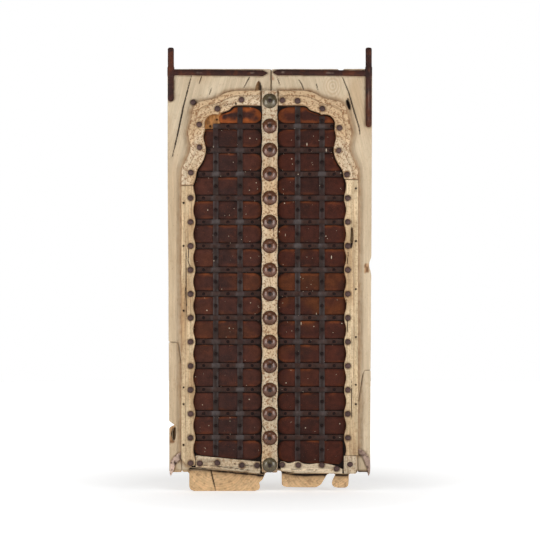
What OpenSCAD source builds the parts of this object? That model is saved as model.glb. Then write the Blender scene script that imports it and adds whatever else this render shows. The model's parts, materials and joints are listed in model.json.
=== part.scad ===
// Pair of pivot-hung window shutters: two timber leaves clad with riveted iron plates and straps.
// Sizes are in millimetres. The front faces -Y and +Z is up.
// The origin is under the middle of the closed pair, at mid depth.

/* [Leaves] */
// Distance from the middle of the pair to each pivot axis
pivot_x = 321.5; // [310:0.5:360]
// Timber outside the pivot axis at the top of a leaf
outer_margin = 12; // [10.5:0.5:20]
// How far the outer edge of a leaf leans in towards its foot
edge_taper = 7; // [0:0.5:10]
// Thickness of the timber of a leaf
board_t = 32; // [26:0.5:45]
// Timber above the crown of the iron panel
head_h = 120; // [100:1:150]
// Place of the meeting line beside the middle of the pair
seam_x = 3; // [0:0.5:6]
// Gap between the meeting edges of the leaves
seam_gap = 3; // [1:0.5:5]
// Slant of the meeting edges through the thickness, which keeps out draught and light
seam_slant = 8; // [5.5:0.5:12]
// Depth of the sunk margin round the moulding
margin_sink = 2.5; // [1:0.5:6]
// Width of the sunk margin beside a stile moulding
margin_w = 15; // [8:0.5:20]
// Depth of the splits and knot holes
split_depth = 12; // [4:0.5:18]

/* [Foot] */
// Height of the outer foot corners above the end of the tongue
corner_z = 63; // [58:0.5:75]
// Thickness of the tongue behind the rebate
tongue_t = 18; // [10:0.5:22]
// Distance from the pivot axis in to the end of the tongue
tongue_inset = 59; // [50:0.5:70]
// Open joint round the scarfed-in corner boards
scarf_gap = 0.8; // [0.3:0.1:2]

/* [Iron lattice] */
// Height of the lowest cross strap
first_row = 176; // [170:0.5:190]
// Spacing of the cross straps
row_pitch = 77.75; // [72:0.25:90]
// Spacing of the upright straps
upright_pitch = 79; // [72:0.5:86]
// Distance from the stile moulding to the outer upright strap
upright_inset = 72; // [64:0.5:80]
// How far the upright straps of both leaves stand to the left of even
upright_shift = 3; // [0:0.5:4]
// Distance of the inner nails of the cross straps from the inner upright strap
inner_nail_reach = 39.5; // [32:0.5:42]
// Width of the straps
strap_w = 17; // [14:0.5:22]
// Thickness of the straps
strap_t = 2.5; // [2:0.1:4]
// Length of the ramp where a cross strap climbs over an upright
ramp_l = 7; // [5:0.5:10]
// Thickness of the plates
plate_t = 2; // [1:0.1:3]
// Radius to which the plates are bellied
belly_r = 420; // [300:5:800]
// Corner radius of the plates beside the batten
inner_corner = 26; // [10:0.5:30]
// Corner radius of the plates beside the moulding
outer_corner = 24; // [20:0.5:28]

/* [Moulding] */
// Plain timber between the stile moulding and the pivot axis
strip_w = 34; // [28:0.5:45]
// Width of a stile moulding
stile_w = 43; // [40:0.5:50]
// Width of the arch moulding at the crown
arch_w = 49; // [44:0.5:60]
// Rise of the crown above the top cross strap
crown_rise = 67; // [64:0.5:80]
// Thickness of the raised inner band of the moulding
band_t = 15; // [12:0.5:20]
// Thickness of the outer fillet of the moulding
fillet_t = 10.5; // [6:0.5:11]
// Part of the moulding's width that the raised band takes
band_share = 0.6; // [0.55:0.01:0.7]
// Depth of the scallops along the inner edge
scallop = 3.4; // [0:0.1:5]
// Open butt joint between arch and stile mouldings
joint_gap = 1; // [0.4:0.1:2]
// Height of the bottom mouldings
rail_h = 39; // [34:0.5:44]
// Height of the top edge of the left bottom moulding beside the batten
rail_top = 98; // [94:0.5:104]
// Rise of the left bottom moulding towards the stile
rail_rise = 20; // [0:0.5:24]
// Thickness of the bottom mouldings
rail_t = 14; // [10:0.5:18]
// How far the joint between arch and stile lies below its row of nails on the left
left_joint_drop = 36; // [28:0.5:40]
// How far the joint between arch and stile lies below its row of nails on the right
right_joint_drop = 17; // [14:0.5:24]
// Height of the foot of the left stile moulding
left_stile_foot = 85; // [80:1:95]
// Height of the block that mends the right foot corner of the moulding
block_h = 58; // [48:0.5:64]
// How far that block hangs below the corner of the leaf
block_drop = 4; // [0:0.5:8]
// Diameter of the empty nail holes in the fillet
old_hole_d = 6.5; // [4:0.5:8]

/* [Batten and bosses] */
// Width of the centre batten
batten_w = 51; // [48:0.5:56]
// Thickness of the centre batten
batten_t = 18; // [14:0.5:24]
// Wave of the batten's edges
batten_wave = 1.2; // [0:0.1:2]
// Height of the foot of the batten
batten_foot = 63; // [58:0.5:66]
// Diameter of a boss
boss_d = 48; // [40:0.5:48]
// Height of a boss
boss_h = 14; // [8:0.5:20]
// Thickness of the sheet of a boss
boss_t = 2; // [1:0.1:3]
// Height of the lowest boss above the foot of the batten
low_boss = 25; // [24.5:0.5:40]
// Height of the top boss above the crown of the iron panel
top_boss = 14; // [10:0.5:24]

/* [Nails] */
// Head diameter of the strap nails
strap_head_d = 12; // [8:0.5:14]
// Head height of the strap nails
strap_head_h = 3.5; // [2:0.1:5]
// Shank diameter of the strap nails
strap_shank_d = 4.4; // [3:0.1:6]
// Head diameter of the frame nails
frame_head_d = 19.5; // [14:0.5:22]
// Head height of the frame nails
frame_head_h = 6; // [4:0.1:8]
// Shank diameter of the frame nails
frame_shank_d = 6.4; // [4:0.1:8]
// Head diameter of the boss nails
boss_head_d = 13; // [9:0.5:16]
// Head height of the boss nails
boss_head_h = 4.5; // [3:0.1:6]
// How far the shanks go into the leaf
nail_bite = 20; // [10:0.5:24]

/* [Pivots and ledges] */
// Radius of the pivot pins
pin_r = 10.25; // [7:0.25:10.5]
// Length of a pivot pin above the leaf
pin_l = 69; // [50:1:90]
// Height of the eased tip of a pin
pin_tip = 4; // [2:0.5:6]
// Height of the shoulder on which a pin stands on the leaf
shoulder_h = 5; // [3:0.5:8]
// Width of the shoulder round a pin
shoulder_w = 1.5; // [1:0.25:3]
// Distance from the top of a leaf down to the middle of the head strap
head_strap_drop = 13; // [11:0.5:20]
// Width of the head strap
head_strap_w = 19.5; // [16:0.5:21]
// Height of the rounded face of the head strap
head_strap_t = 7; // [4:0.5:8]
// Thickness of the edges of the head strap
head_edge_t = 2.5; // [1:0.5:3]
// How far the head strap falls or climbs across a leaf
head_slant = 3; // [0:0.5:3]
// Length of the leg of the left pivot below the leaf's top
left_leg = 107; // [80:1:140]
// Length of the leg of the right pivot below the leaf's top
right_leg = 190; // [150:1:220]
// Thickness of the foot pivots
shoe_t = 5; // [3:0.5:8]
// Length of the foot spikes below the leaf's corner
spike_l = 13; // [8:0.5:30]
// Width of the back ledges
ledge_w = 60; // [40:1:80]
// Thickness of the back ledges
ledge_t = 25; // [18:0.5:35]
// Chamfer along the back ledges
ledge_chamfer = 6; // [2:0.5:10]

/* [Fits] */
// Gap between the plates and the timber round them
plate_gap = 4; // [2:0.5:6]
// Gap between neighbouring plates under a cross strap
plate_split = 1; // [0.5:0.1:2]
// Gap between the ends of the straps and the timber
strap_gap = 2; // [1:0.5:4]
// Radial room of a nail in a punched hole
punch_room = 0.2; // [0.1:0.05:0.5]
// Room between iron pieces that lie on each other
lay_room = 0.05; // [0.02:0.01:0.2]
// Room between the batten and the left leaf behind it
leaf_room = 0.5; // [0.3:0.1:1]
// Gap from the batten to the left arch moulding, which has to swing clear
left_end_gap = 3; // [2:0.5:5]
// Gap from the batten to the right arch moulding
right_end_gap = 1; // [0.5:0.1:2]

/* [Hidden] */
$fn = 48;
LEFT = -1;
RIGHT = 1;
ROWS = 14;
FIELDS = ROWS + 1;
TIMBER = [0.83, 0.75, 0.62];
NEW_TIMBER = [0.78, 0.64, 0.46];
PLATE_IRON = [0.27, 0.15, 0.12];
STRAP_IRON = [0.22, 0.19, 0.18];
PIVOT_IRON = [0.30, 0.17, 0.14];
NAIL_IRON = [0.28, 0.22, 0.21];
BOSS_METAL = [0.36, 0.25, 0.16];
far = 1000;
cut = 1;
curve_steps = 4;

panel_side = pivot_x - strip_w - stile_w;
stile_outer = panel_side + stile_w;
top_row = row_z(ROWS - 1);
crown = top_row + crown_rise;
leaf_top = crown + head_h;
batten_top = crown + arch_w;
batten_edge = batten_w / 2 + batten_wave;
tongue_u = pivot_x - tongue_inset;
plate_in = batten_edge + plate_gap;
plate_out = panel_side + scallop - plate_gap;
block_top = corner_z - block_drop + block_h;
boss_seat = batten_t + boss_h - 3 * lay_room;
front_stack = boss_seat + boss_head_h;
face_y = (front_stack - board_t - ledge_t) / 2;
field_half = (row_pitch - plate_split) / 2;
upright_seat = belly_out(0, field_half) + lay_room;
cross_seat = belly_out(field_half - strap_w / 2, field_half) + lay_room;
cross_rise = upright_seat + strap_t + lay_room - cross_seat;
rail_end = panel_side - scallop - cut;
// Worn top edge and foot of the right bottom moulding as [share of the length, height]
worn_top = [
    [0.01, -2], [0.06, 1], [0.11, -4], [0.16, -5], [0.23, -1], [0.3, 1], [0.36, -5], [0.47, -8],
    [0.58, -5], [0.7, -5], [0.8, -9], [0.88, -14], [0.95, -20], [0.98, -26]
];
worn_foot = [[0.98, 0], [0.62, 2], [0.34, 1], [0.2, 4], [0.03, 10]];
boss_rows = concat([batten_foot + low_boss], [for (i = [0 : ROWS - 1]) row_z(i)], [crown + top_boss]);

function plate_name(leaf, i) = str(leaf, "_plate_", i < 10 ? "0" : "", i);

// Heights of the cross straps, counted from the bottom
function row_z(i) = first_row + i * row_pitch;
// Distance of upright strap k from the middle, the outer strap first
function upright_u(side, k) = panel_side - upright_inset - side * upright_shift - k * upright_pitch;
// How far the face of a bellied plate stands out, at dz from its middle
function belly_out(dz, half) =
    sqrt(pow(belly_r, 2) - dz * dz) - sqrt(pow(belly_r - plate_t, 2) - half * half);
// Meeting edge of a leaf, measured outwards from the middle of the pair
function seam_u(side) = side * seam_x + seam_gap / 2;
// Outer edge of a leaf, which leans in towards the foot
function edge_u(z) = pivot_x + outer_margin - edge_taper * (leaf_top - z) / (leaf_top - corner_z);
// Height of the joint between arch and stile
function joint_z(side) = row_z(ROWS - 3) - (side == LEFT ? left_joint_drop : right_joint_drop);
// Scalloped inner edge of the stile moulding, full at each row of nails
function stile_u(z) = panel_side - scallop * cos(360 * (z - first_row) / row_pitch);
// Half width of the batten, full at each boss
function batten_half(z) = batten_w / 2 + batten_wave * cos(360 * (z - first_row) / row_pitch);
// Top edge of the bottom moulding
function rail_line(side, u) = let (share = (u - plate_in) / (rail_end - plate_in))
    rail_top + (side == LEFT ? rail_rise * share : lookup(share, worn_top));

function reversed(p) = [for (i = [len(p) - 1 : -1 : 0]) p[i]];
function mixed(p, q, share) = [for (i = [0 : len(p) - 1]) p[i] + share * (q[i] - p[i])];
function shifted(p, by) = [for (q = p) q + by];
function tail(p, start) = [for (i = [start : len(p) - 1]) p[i]];
function arc(centre, r, from, to, steps) =
    [for (k = [0 : steps]) let (a = from + (to - from) * k / steps) centre + r * [cos(a), sin(a)]];

// Smooth curve through a list of points
function blend(a, b, c, d, t) =
    0.5 * (2 * b + (c - a) * t + (2 * a - 5 * b + 4 * c - d) * t * t + (3 * b - a - 3 * c + d) * t * t * t);
function curve(p, steps = curve_steps) = concat(
    [for (i = [0 : len(p) - 2], k = [0 : steps - 1])
        blend(p[max(i - 1, 0)], p[i], p[i + 1], p[min(i + 2, len(p) - 1)], k / steps)],
    [p[len(p) - 1]]
);

// Points of the cusped arch, from the batten to the joint with the stile, inner edge first
function arch_start(side) = batten_edge + (side == LEFT ? left_end_gap : right_end_gap);
function arch_inner(side) = let (s = panel_side, c = crown, b = row_z(ROWS - 2), a = row_z(ROWS - 3)) [
    [arch_start(side), c], [s - 134, c], [s - 113, c - 14], [s - 84.5, c - 24],
    [s - 77, c - 29.5], [s - 68, c - 28], [s - 46.5, c - 33.5], [s - 34, c - 50.5],
    [s - 33, c - 66], [s - 33.5, c - 81], [s - 29, b + 40], [s - 37, b + 3],
    [s - 28.5, b - 33], [s - 9, a + 13], [s - 4, a - 12], [stile_u(joint_z(side)), joint_z(side)]
];
function arch_outer(side) =
    let (s = panel_side, e = stile_outer, c = crown, b = row_z(ROWS - 2), a = row_z(ROWS - 3)) [
    [arch_start(side), c + arch_w], [s - 134, c + arch_w], [s - 104, c + arch_w - 6], [s - 75.5, c + 28.5],
    [s - 57.5, c + 22], [s - 36.5, c + 18], [s - 16, c + 12], [s + 3.5, c - 7],
    [s + 12, c - 46], [s + 21, c - 84], [s + 18.5, b + 36], [s + 13.5, b + 4],
    [s + 26.5, b - 29], [e - 3, a + 20], [e - 0.5, a - 6], [e, joint_z(side)]
];

// The left leaf has lost the outer end of its top cross strap and of the plate above it
function is_short(side, i) = side == LEFT && i == ROWS - 1;

// Nail places as [distance from the middle, height, seat in front of the leaf]
function strap_end(side, i) =
    is_short(side, i) ? upright_u(side, 0) + strap_w / 2 :
    i == ROWS - 1 ? panel_side - 35 - strap_gap :
    i == ROWS - 2 ? panel_side - 38 - strap_gap :
    i == ROWS - 3 ? panel_side - 9.5 - strap_gap : panel_side - scallop - strap_gap;
function upright_top(side, k) =
    k == 1 ? crown - strap_gap : side == LEFT ? top_row + strap_w / 2 : crown - 31 - strap_gap;
function upright_foot(side, k) = rail_line(side, upright_u(side, k) - strap_w / 2) + 2 * strap_gap;
function cross_nail_u(side, i, k) =
    k == 0 ? upright_u(side, 1) - inner_nail_reach :
    min(upright_u(side, 1) + upright_pitch * (k - 0.5), strap_end(side, i) - 0.55 * strap_head_d);
function upright_nail_z(side, i, k) =
    i == 0 ? (upright_foot(side, k) + first_row) / 2 :
    i == ROWS ? (top_row + upright_top(side, k)) / 2 : row_z(i) - row_pitch / 2;
function cross_nails(side, i) =
    [for (k = [0 : is_short(side, i) ? 1 : 2]) [cross_nail_u(side, i, k), row_z(i), cross_seat + strap_t]];
function upright_nails(side, k) =
    [for (i = [0 : side == LEFT && k == 0 ? ROWS - 1 : ROWS])
        [upright_u(side, k), upright_nail_z(side, i, k), upright_seat + strap_t]];
function strap_nails(side) = concat(
    [for (i = [0 : ROWS - 1], n = cross_nails(side, i)) n],
    [for (k = [0, 1], n = upright_nails(side, k)) n]
);
function arch_nails(side) =
    let (s = panel_side, c = crown, b = row_z(ROWS - 2), a = row_z(ROWS - 3)) side == LEFT ? [
    [s - 153, c + 18, band_t], [s - 75, c - 11, band_t], [s - 15.5, top_row + 5, band_t],
    [s - 16.5, b + 8.5, band_t], [s + 11.5, a + 4.5, band_t], [s + 4, c + 11.5, 0]
] : [
    [41, c + 16.5, band_t], [s - 154.5, c + 14.5, band_t], [s - 74, c - 11, band_t],
    [s - 18.5, top_row - 6, band_t], [s - 21, b - 1.5, band_t], [s + 6, a - 1.5, band_t]
];
function stile_nails(side) = concat(
    [for (i = [0 : ROWS - 4]) [panel_side + (side == LEFT ? 12.5 : 8.5), row_z(i), band_t]],
    side == LEFT ? [[panel_side + 12, 94, band_t]] : []
);
function rail_nails(side) = side == LEFT
    ? [for (p = [[41, 0.32], [90, 0.42], [170, 0.42], [227, 0.62]])
        [p[0], rail_line(LEFT, p[0]) - rail_h * p[1], rail_t]]
    : [for (p = [[40, 9], [92.5, 10.5], [169, 10], [217, 22]]) [p[0], rail_top - p[1], rail_t]];
function block_nails() = [[panel_side + 16, 90, band_t]];
function frame_nails(side) = concat(
    arch_nails(side), stile_nails(side), rail_nails(side), side == RIGHT ? block_nails() : []
);

// Draws its children, whose outlines lie in X and Z, from out in front of the leaf's face
module on_face(out, t) {
    translate([0, face_y - out, 0])
        rotate([90, 0, 0])
            linear_extrude(height = t)
                children();
}

// Draws its children on a leaf: they are modelled on the right one
module on_leaf(side) {
    if (side == LEFT)
        mirror([1, 0, 0]) children();
    else
        children();
}

// Sinks an outline into the face of a leaf
module sunk(depth) {
    on_face(-depth, depth + cut) children();
}

// A split: a thin bowed ribbon that tapers to both ends
module split(from, to, bow, width) {
    steps = 8;
    sweep = [for (k = [0 : steps]) sin(180 * (k + 0.25) / (steps + 0.5))];
    middle = [for (k = [0 : steps]) from + k / steps * (to - from) + [bow * sweep[k], 0]];
    sunk(split_depth)
        polygon(concat(
            [for (k = [0 : steps]) middle[k] - [width / 2 * sweep[k], 0]],
            [for (k = [steps : -1 : 0]) middle[k] + [width / 2 * sweep[k], 0]]
        ));
}

// A nail: domed head on its seat and a straight shank behind it
module nail(place, head_d, head_h, shank_d, shank_l) {
    r = head_d / 2;
    translate([place[0], face_y - place[2], place[1]])
        rotate([90, 0, 0])
            rotate_extrude()
                polygon([
                    [0, -shank_l], [shank_d / 2, -shank_l], [shank_d / 2, 0], [r, 0],
                    [r, head_h * 0.3], [r * 0.8, head_h * 0.75], [r * 0.4, head_h], [0, head_h]
                ]);
}

// Punched holes for nails
module punched(places, shank_d) {
    for (p = places)
        translate([p[0], face_y + cut, p[1]])
            rotate([90, 0, 0])
                cylinder(d = shank_d + 2 * punch_room, h = p[2] + 2 * cut);
}

// Wedge off the meeting edge: the front of the left leaf's, so that it swings inwards, and the right's back
module seam_wedge(side) {
    u = seam_u(side);
    y = face_y;
    back = y + board_t + cut;
    slant = seam_slant * (board_t + cut) / board_t;
    linear_extrude(height = leaf_top + cut)
        if (side == LEFT)
            polygon([
                [u, y - cut], [u, y], [u - slant, back], [u - 2 * slant, back], [u - 2 * slant, y - cut]
            ]);
        else
            polygon([[u - cut, y], [u, y], [u + slant, back], [u - cut, back]]);
}

// Outline of the full thickness of a leaf
module leaf_outline(side) {
    seam = seam_u(side) - (side == LEFT ? seam_slant : 0);
    notch = side == LEFT ? row_z(0) + 38 : row_z(7) + 12;
    head = side == LEFT ? [] : [
        [panel_side - 23, leaf_top], [panel_side - 17, leaf_top - 6],
        [panel_side - 9, leaf_top - 6], [panel_side - 3, leaf_top]
    ];
    chip = side == LEFT ? [
        [edge_u(notch), notch + 15], [pivot_x - 7, notch + 6], [pivot_x - 16, notch + 1],
        [pivot_x - 3, notch - 2], [edge_u(notch), notch - 8]
    ] : [
        [edge_u(notch), notch + 30], [edge_u(notch) - 6, notch + 14], [edge_u(notch) - 6.5, notch - 2],
        [edge_u(notch) - 3, notch - 12], [edge_u(notch), notch - 29]
    ];
    foot = side == LEFT ? [
        [tongue_u + 3, corner_z], [tongue_u + 3, rail_top + rail_rise - rail_h],
        [20, rail_top - rail_h - 4], [12, corner_z - 3], [seam, corner_z + 3]
    ] : [
        [panel_side + 36.5, corner_z], [panel_side + 36, corner_z - 4], [panel_side + 16, corner_z - 6],
        [60, corner_z - 3], [40, corner_z + 4], [seam, corner_z + 5]
    ];
    polygon(concat(
        [[seam, leaf_top]], head, [[edge_u(leaf_top), leaf_top]], chip,
        [[edge_u(corner_z), corner_z]], foot
    ));
}

// Worn tongues left standing behind the rebate
module tongues(side) {
    root = corner_z + 40;
    u = tongue_u;
    if (side == LEFT)
        polygon(concat(
            [[15, root]],
            curve([[15, 56], [19, 45], [25, 34], [35, 27], [32, 20], [32, 9], [37, 2.5], [48, 0]]),
            curve([[u - 16, 0], [u - 5, 3], [u, 13]]),
            [[u, root]]
        ));
    else {
        polygon(concat(
            [[38.5, root]],
            curve([[38.5, 24], [43, 15], [60, 12.5], [88, 11.5]]),
            curve([[u - 112, 11.5], [u - 96, 21], [u - 86, 37], [u - 76, 53], [u - 66, 57]]),
            [[u - 66, root]]
        ));
        polygon(concat(
            [[u - 47, root]],
            curve([[u - 47, 54], [u - 55, 41], [u - 60, 25], [u - 56, 15], [u - 40, 10]]),
            curve([[u - 15, 10], [u - 7, 17], [u - 5, 30]]),
            [[u - 5, root]]
        ));
    }
}

// Margin sunk into the leaf along the outside of the moulding
module margin_outline(side) {
    inner = tail(arch_inner(side), 3);
    outer = tail(arch_outer(side), 3);
    foot = [[stile_outer, block_top]];
    wide = mixed(inner, outer, 1 + margin_w / stile_w);
    polygon(concat(curve(outer), foot, shifted(foot, [margin_w, 0]), reversed(curve(wide))));
}

module knot_holes(side) {
    s = panel_side;
    c = crown;
    e = pivot_x;
    b = row_z(0);
    m = row_z(7);
    polygons = side == LEFT ? [
        [[27, c + 47], [25, c + 60], [28, c + 73], [34, c + 83], [42, c + 74], [47, c + 58], [48, c + 47]],
        [[e - 17, b + 34], [e - 8, b + 31], [e - 4.5, b + 10],
         [e - 8, b - 12], [e - 14, b - 10], [e - 17.5, b + 12]]
    ] : [
        [[s + 3, c + 24], [s + 8, c + 27], [s + 14, c + 16], [s + 19, c + 1], [s + 18, c - 12],
         [s + 14, c - 13], [s + 8, c - 4], [s + 3, c + 10]],
        [[e - 11, m + 22], [e - 5, m + 20], [e - 4, m + 2], [e - 7, m - 10], [e - 11, m]]
    ];
    for (p = polygons)
        sunk(split_depth)
            polygon(curve(concat(p, [p[0]]), 3));
}

// Empty nail holes where the left leaf has lost its iron
module bare_holes() {
    for (p = [[upright_u(LEFT, 0) + 18, top_row + 1], [upright_u(LEFT, 0) - 4, top_row + 22]])
        translate([p[0], face_y + split_depth, p[1]])
            rotate([90, 0, 0])
                cylinder(d = old_hole_d, h = split_depth + cut);
}

// Slot worn through the right stile moulding into the leaf
module worn_slot() {
    z = row_z(8) + 15;
    u = panel_side + 22;
    for (dz = [0, 40])
        translate([u, face_y + split_depth, z + dz])
            rotate([90, 0, 0])
                cylinder(d = 8, h = split_depth + band_t + cut);
    translate([u - 2.5, face_y - band_t - cut, z])
        cube([5, split_depth + band_t + cut, 40]);
}

module main_split(side) {
    s = panel_side;
    if (side == LEFT)
        split([s + 9.5, leaf_top - 20], [pivot_x - 6, row_z(ROWS - 2) - 19], 2, 4.5);
    else
        split([s - 8, leaf_top - 27], [s + 48.5, top_row - 25], 5, 4);
}

// The whole leaf before its corner is scarfed
module leaf_timber(side) {
    difference() {
        union() {
            on_face(-board_t, board_t) leaf_outline(side);
            on_face(-board_t, tongue_t) tongues(side);
        }
        seam_wedge(side);
        sunk(margin_sink) margin_outline(side);
        knot_holes(side);
        main_split(side);
        if (side == RIGHT)
            worn_slot();
        else
            bare_holes();
    }
}

// The lower outer corner, cut out for a new board
module scarf(side, grow) {
    head = side == LEFT ? row_z(4) : row_z(3) - 14;
    run = side == LEFT ? 76 : 110;
    inset = side == LEFT ? 24 : 15;
    on_face(-board_t - cut, board_t + 2 * cut)
        polygon([
            [pivot_x + far, head + grow], [pivot_x - inset - grow, head - 2 + grow],
            [stile_outer - 1 - grow, head - run], [stile_outer - 1 - grow, -cut], [pivot_x + far, -cut]
        ]);
}

module plank(side) {
    color(TIMBER)
        on_leaf(side)
            difference() {
                leaf_timber(side);
                scarf(side, scarf_gap);
            }
}

module corner_board(side) {
    color(NEW_TIMBER)
        on_leaf(side)
            intersection() {
                leaf_timber(side);
                scarf(side, 0);
            }
}

// Carved arch moulding: low outer fillet with a raised inner band
module arch_moulding(side) {
    inner = arch_inner(side);
    outer = arch_outer(side);
    color(TIMBER)
        on_leaf(side) {
            on_face(0, fillet_t)
                polygon(concat(curve(inner), reversed(curve(outer))));
            on_face(fillet_t, band_t - fillet_t)
                polygon(concat(curve(inner), reversed(curve(mixed(inner, outer, band_share)))));
        }
}

// Stile moulding with scalloped inner edge and empty nail holes in its fillet
module stile_moulding(side) {
    foot = side == LEFT ? left_stile_foot : block_top + joint_gap;
    head = joint_z(side) - joint_gap;
    steps = 10 * ROWS;
    lean = side == LEFT ? 20 : 0;
    band_u = panel_side + band_share * stile_w;
    scallops = [for (i = [0 : steps]) let (z = foot + (head - foot) * i / steps) [stile_u(z), z]];
    old_rows = side == LEFT ? [-0.3, 1.4, 2.1, 5.3, 8, 9.8] : [1.4, 2.2, 4.2, 6.2, 8.2, 10.4];
    color(TIMBER)
        on_leaf(side)
            difference() {
                union() {
                    on_face(0, fillet_t)
                        polygon(concat(scallops,
                            [[stile_outer, head], [stile_outer, foot + lean], [stile_outer - lean, foot]]));
                    on_face(fillet_t, band_t - fillet_t)
                        polygon(concat(scallops, [[band_u, head], [band_u, foot]]));
                }
                for (r = old_rows)
                    translate([stile_outer - 8, face_y + cut, row_z(r)])
                        rotate([90, 0, 0])
                            cylinder(d = old_hole_d, h = band_t + 2 * cut);
                if (side == RIGHT)
                    worn_slot();
            }
}

module rail_outline(side) {
    a = plate_in;
    b = rail_end;
    t = rail_top;
    if (side == LEFT)
        polygon([[a, t], [b, t + rail_rise], [b, t + rail_rise - rail_h + 2], [a, t - rail_h]]);
    else
        polygon(concat(
            curve([for (p = worn_top) [a + p[0] * (b - a), t + p[1]]]),
            curve([for (p = worn_foot) [a + p[0] * (b - a), t - rail_h + p[1]]])
        ));
}

module bottom_moulding(side) {
    color(TIMBER)
        on_leaf(side)
            on_face(0, rail_t)
                rail_outline(side);
}

module corner_block() {
    color(TIMBER)
        on_face(0, band_t)
            polygon([
                [rail_end, corner_z - block_drop], [panel_side + 36, corner_z - block_drop],
                [panel_side + 36, block_top], [rail_end, block_top]
            ]);
}

// Bellied iron sheet between two cross straps, cut to the arch where it reaches it
module plate(side, i) {
    a = inner_corner;
    b = outer_corner;
    u = is_short(side, i - 1) ? upright_u(side, 0) - strap_w / 2 - strap_gap :
        side == RIGHT && i == 0 ? rail_end - plate_gap : plate_out;
    low = i == 0 ? rail_line(side, plate_in + a) + strap_gap : row_z(i - 1) + plate_split / 2;
    lift = i == 0 ? rail_line(side, u - b) - rail_line(side, plate_in + a) : 0;
    high = i == ROWS ? crown - plate_gap : row_z(i) - plate_split / 2;
    half = min(field_half, (high - low) / 2);
    mid = high - half;
    near = [for (n = strap_nails(side)) if (n[1] > low - strap_w && n[1] < high + strap_w) n];
    opening = shifted(arch_inner(side), [-plate_gap, -plate_gap]);
    color(PLATE_IRON)
        on_leaf(side)
            difference() {
                intersection() {
                    on_face(0, band_t)
                        polygon(concat(
                            arc([plate_in + a, low + a], a, 180, 270, 6),
                            arc([u - b, low + lift + b], b, 270, 360, 5),
                            arc([u - b, high - b], b, 0, 90, 5),
                            arc([plate_in + a, high - a], a, 90, 180, 6)
                        ));
                    translate([0, face_y + sqrt(pow(belly_r - plate_t, 2) - half * half), mid])
                        rotate([0, 90, 0])
                            difference() {
                                cylinder(r = belly_r, h = far, center = true);
                                cylinder(r = belly_r - plate_t, h = far + cut, center = true);
                            }
                    if (i > ROWS - 4)
                        on_face(0, band_t)
                            polygon(concat(
                                [[0, crown - plate_gap]], curve(opening),
                                [[panel_side, joint_z(side) - row_pitch], [0, joint_z(side) - row_pitch]]
                            ));
                }
                punched(near, strap_shank_d);
                if (i == 0)
                    on_face(-cut, band_t + 2 * cut)
                        translate([0, strap_gap])
                            rail_outline(side);
            }
}

module upright_straps(side) {
    color(STRAP_IRON)
        on_leaf(side)
            for (k = [0, 1]) {
                foot = upright_foot(side, k);
                difference() {
                    on_face(upright_seat, strap_t)
                        translate([upright_u(side, k) - strap_w / 2, foot])
                            square([strap_w, upright_top(side, k) - foot]);
                    punched(upright_nails(side, k), strap_shank_d);
                }
            }
}

// Cross straps, joggled over the uprights
module cross_straps(side) {
    flat = strap_w / 2 + 1;
    color(STRAP_IRON)
        on_leaf(side)
            for (i = [0 : ROWS - 1]) {
                end = strap_end(side, i);
                steps = [for (k = [1, 0], d = [-flat - ramp_l, -flat, flat, flat + ramp_l])
                    if (upright_u(side, k) + d < end)
                        [upright_u(side, k) + d, abs(d) > flat ? cross_seat : cross_seat + cross_rise]];
                back = concat(
                    [[plate_in - plate_gap + strap_gap, cross_seat]], steps,
                    [[end, steps[len(steps) - 1][1]]]
                );
                front = shifted(reversed(back), [0, strap_t]);
                difference() {
                    translate([0, 0, row_z(i) - strap_w / 2])
                        linear_extrude(height = strap_w)
                            polygon([for (p = concat(back, front)) [p[0], face_y - p[1]]]);
                    punched(cross_nails(side, i), strap_shank_d);
                }
            }
}

module strap_nail_set(side) {
    color(NAIL_IRON)
        on_leaf(side)
            for (p = strap_nails(side))
                nail(p, strap_head_d, strap_head_h, strap_shank_d, p[2] + nail_bite);
}

module frame_nail_set(side) {
    color(NAIL_IRON)
        on_leaf(side)
            for (p = frame_nails(side))
                nail(p, frame_head_d, frame_head_h, frame_shank_d, p[2] + nail_bite);
}

// Pivot pin that runs on as a half-round leg, with a half-round head strap forged across it
module top_pivot(side) {
    leg = side == LEFT ? left_leg : right_leg;
    strap_z = leaf_top - head_strap_drop;
    w = head_strap_w / 2;
    swell = head_strap_t - head_edge_t;
    r = (w * w + swell * swell) / (2 * swell);
    tip = side == LEFT ? 6 : 9;
    point = 16;
    color(PIVOT_IRON)
        on_leaf(side)
            difference() {
                union() {
                    translate([pivot_x, face_y, leaf_top - leg + pin_r])
                        cylinder(r = pin_r, h = leg - pin_r + pin_l - pin_tip);
                    translate([pivot_x, face_y, leaf_top + pin_l - pin_tip])
                        cylinder(r1 = pin_r, r2 = pin_r - 0.75 * pin_tip, h = pin_tip);
                    translate([pivot_x, face_y, leaf_top - leg + pin_r])
                        sphere(r = pin_r);
                    translate([pivot_x, face_y, strap_z - w - shoulder_w])
                        cylinder(r = pin_r + shoulder_w, h = head_strap_drop + w + shoulder_w + shoulder_h);
                    translate([pivot_x / 2, 0, strap_z])
                        rotate([0, side * atan(head_slant / pivot_x), 0])
                            intersection() {
                                translate([-pivot_x / 2, face_y + r - head_strap_t, 0])
                                    rotate([0, 90, 0])
                                        cylinder(r = r, h = pivot_x);
                                on_face(0, head_strap_t)
                                    polygon([
                                        [tip - pivot_x / 2, 0], [tip + point - pivot_x / 2, -w],
                                        [pivot_x / 2, -w], [pivot_x / 2, w], [tip + point - pivot_x / 2, w]
                                    ]);
                            }
                }
                translate([pivot_x - 2 * pin_r, face_y, leaf_top - leg - 2 * pin_r])
                    cube([4 * pin_r, 2 * pin_r, leg + 2 * pin_r]);
            }
}

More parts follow.
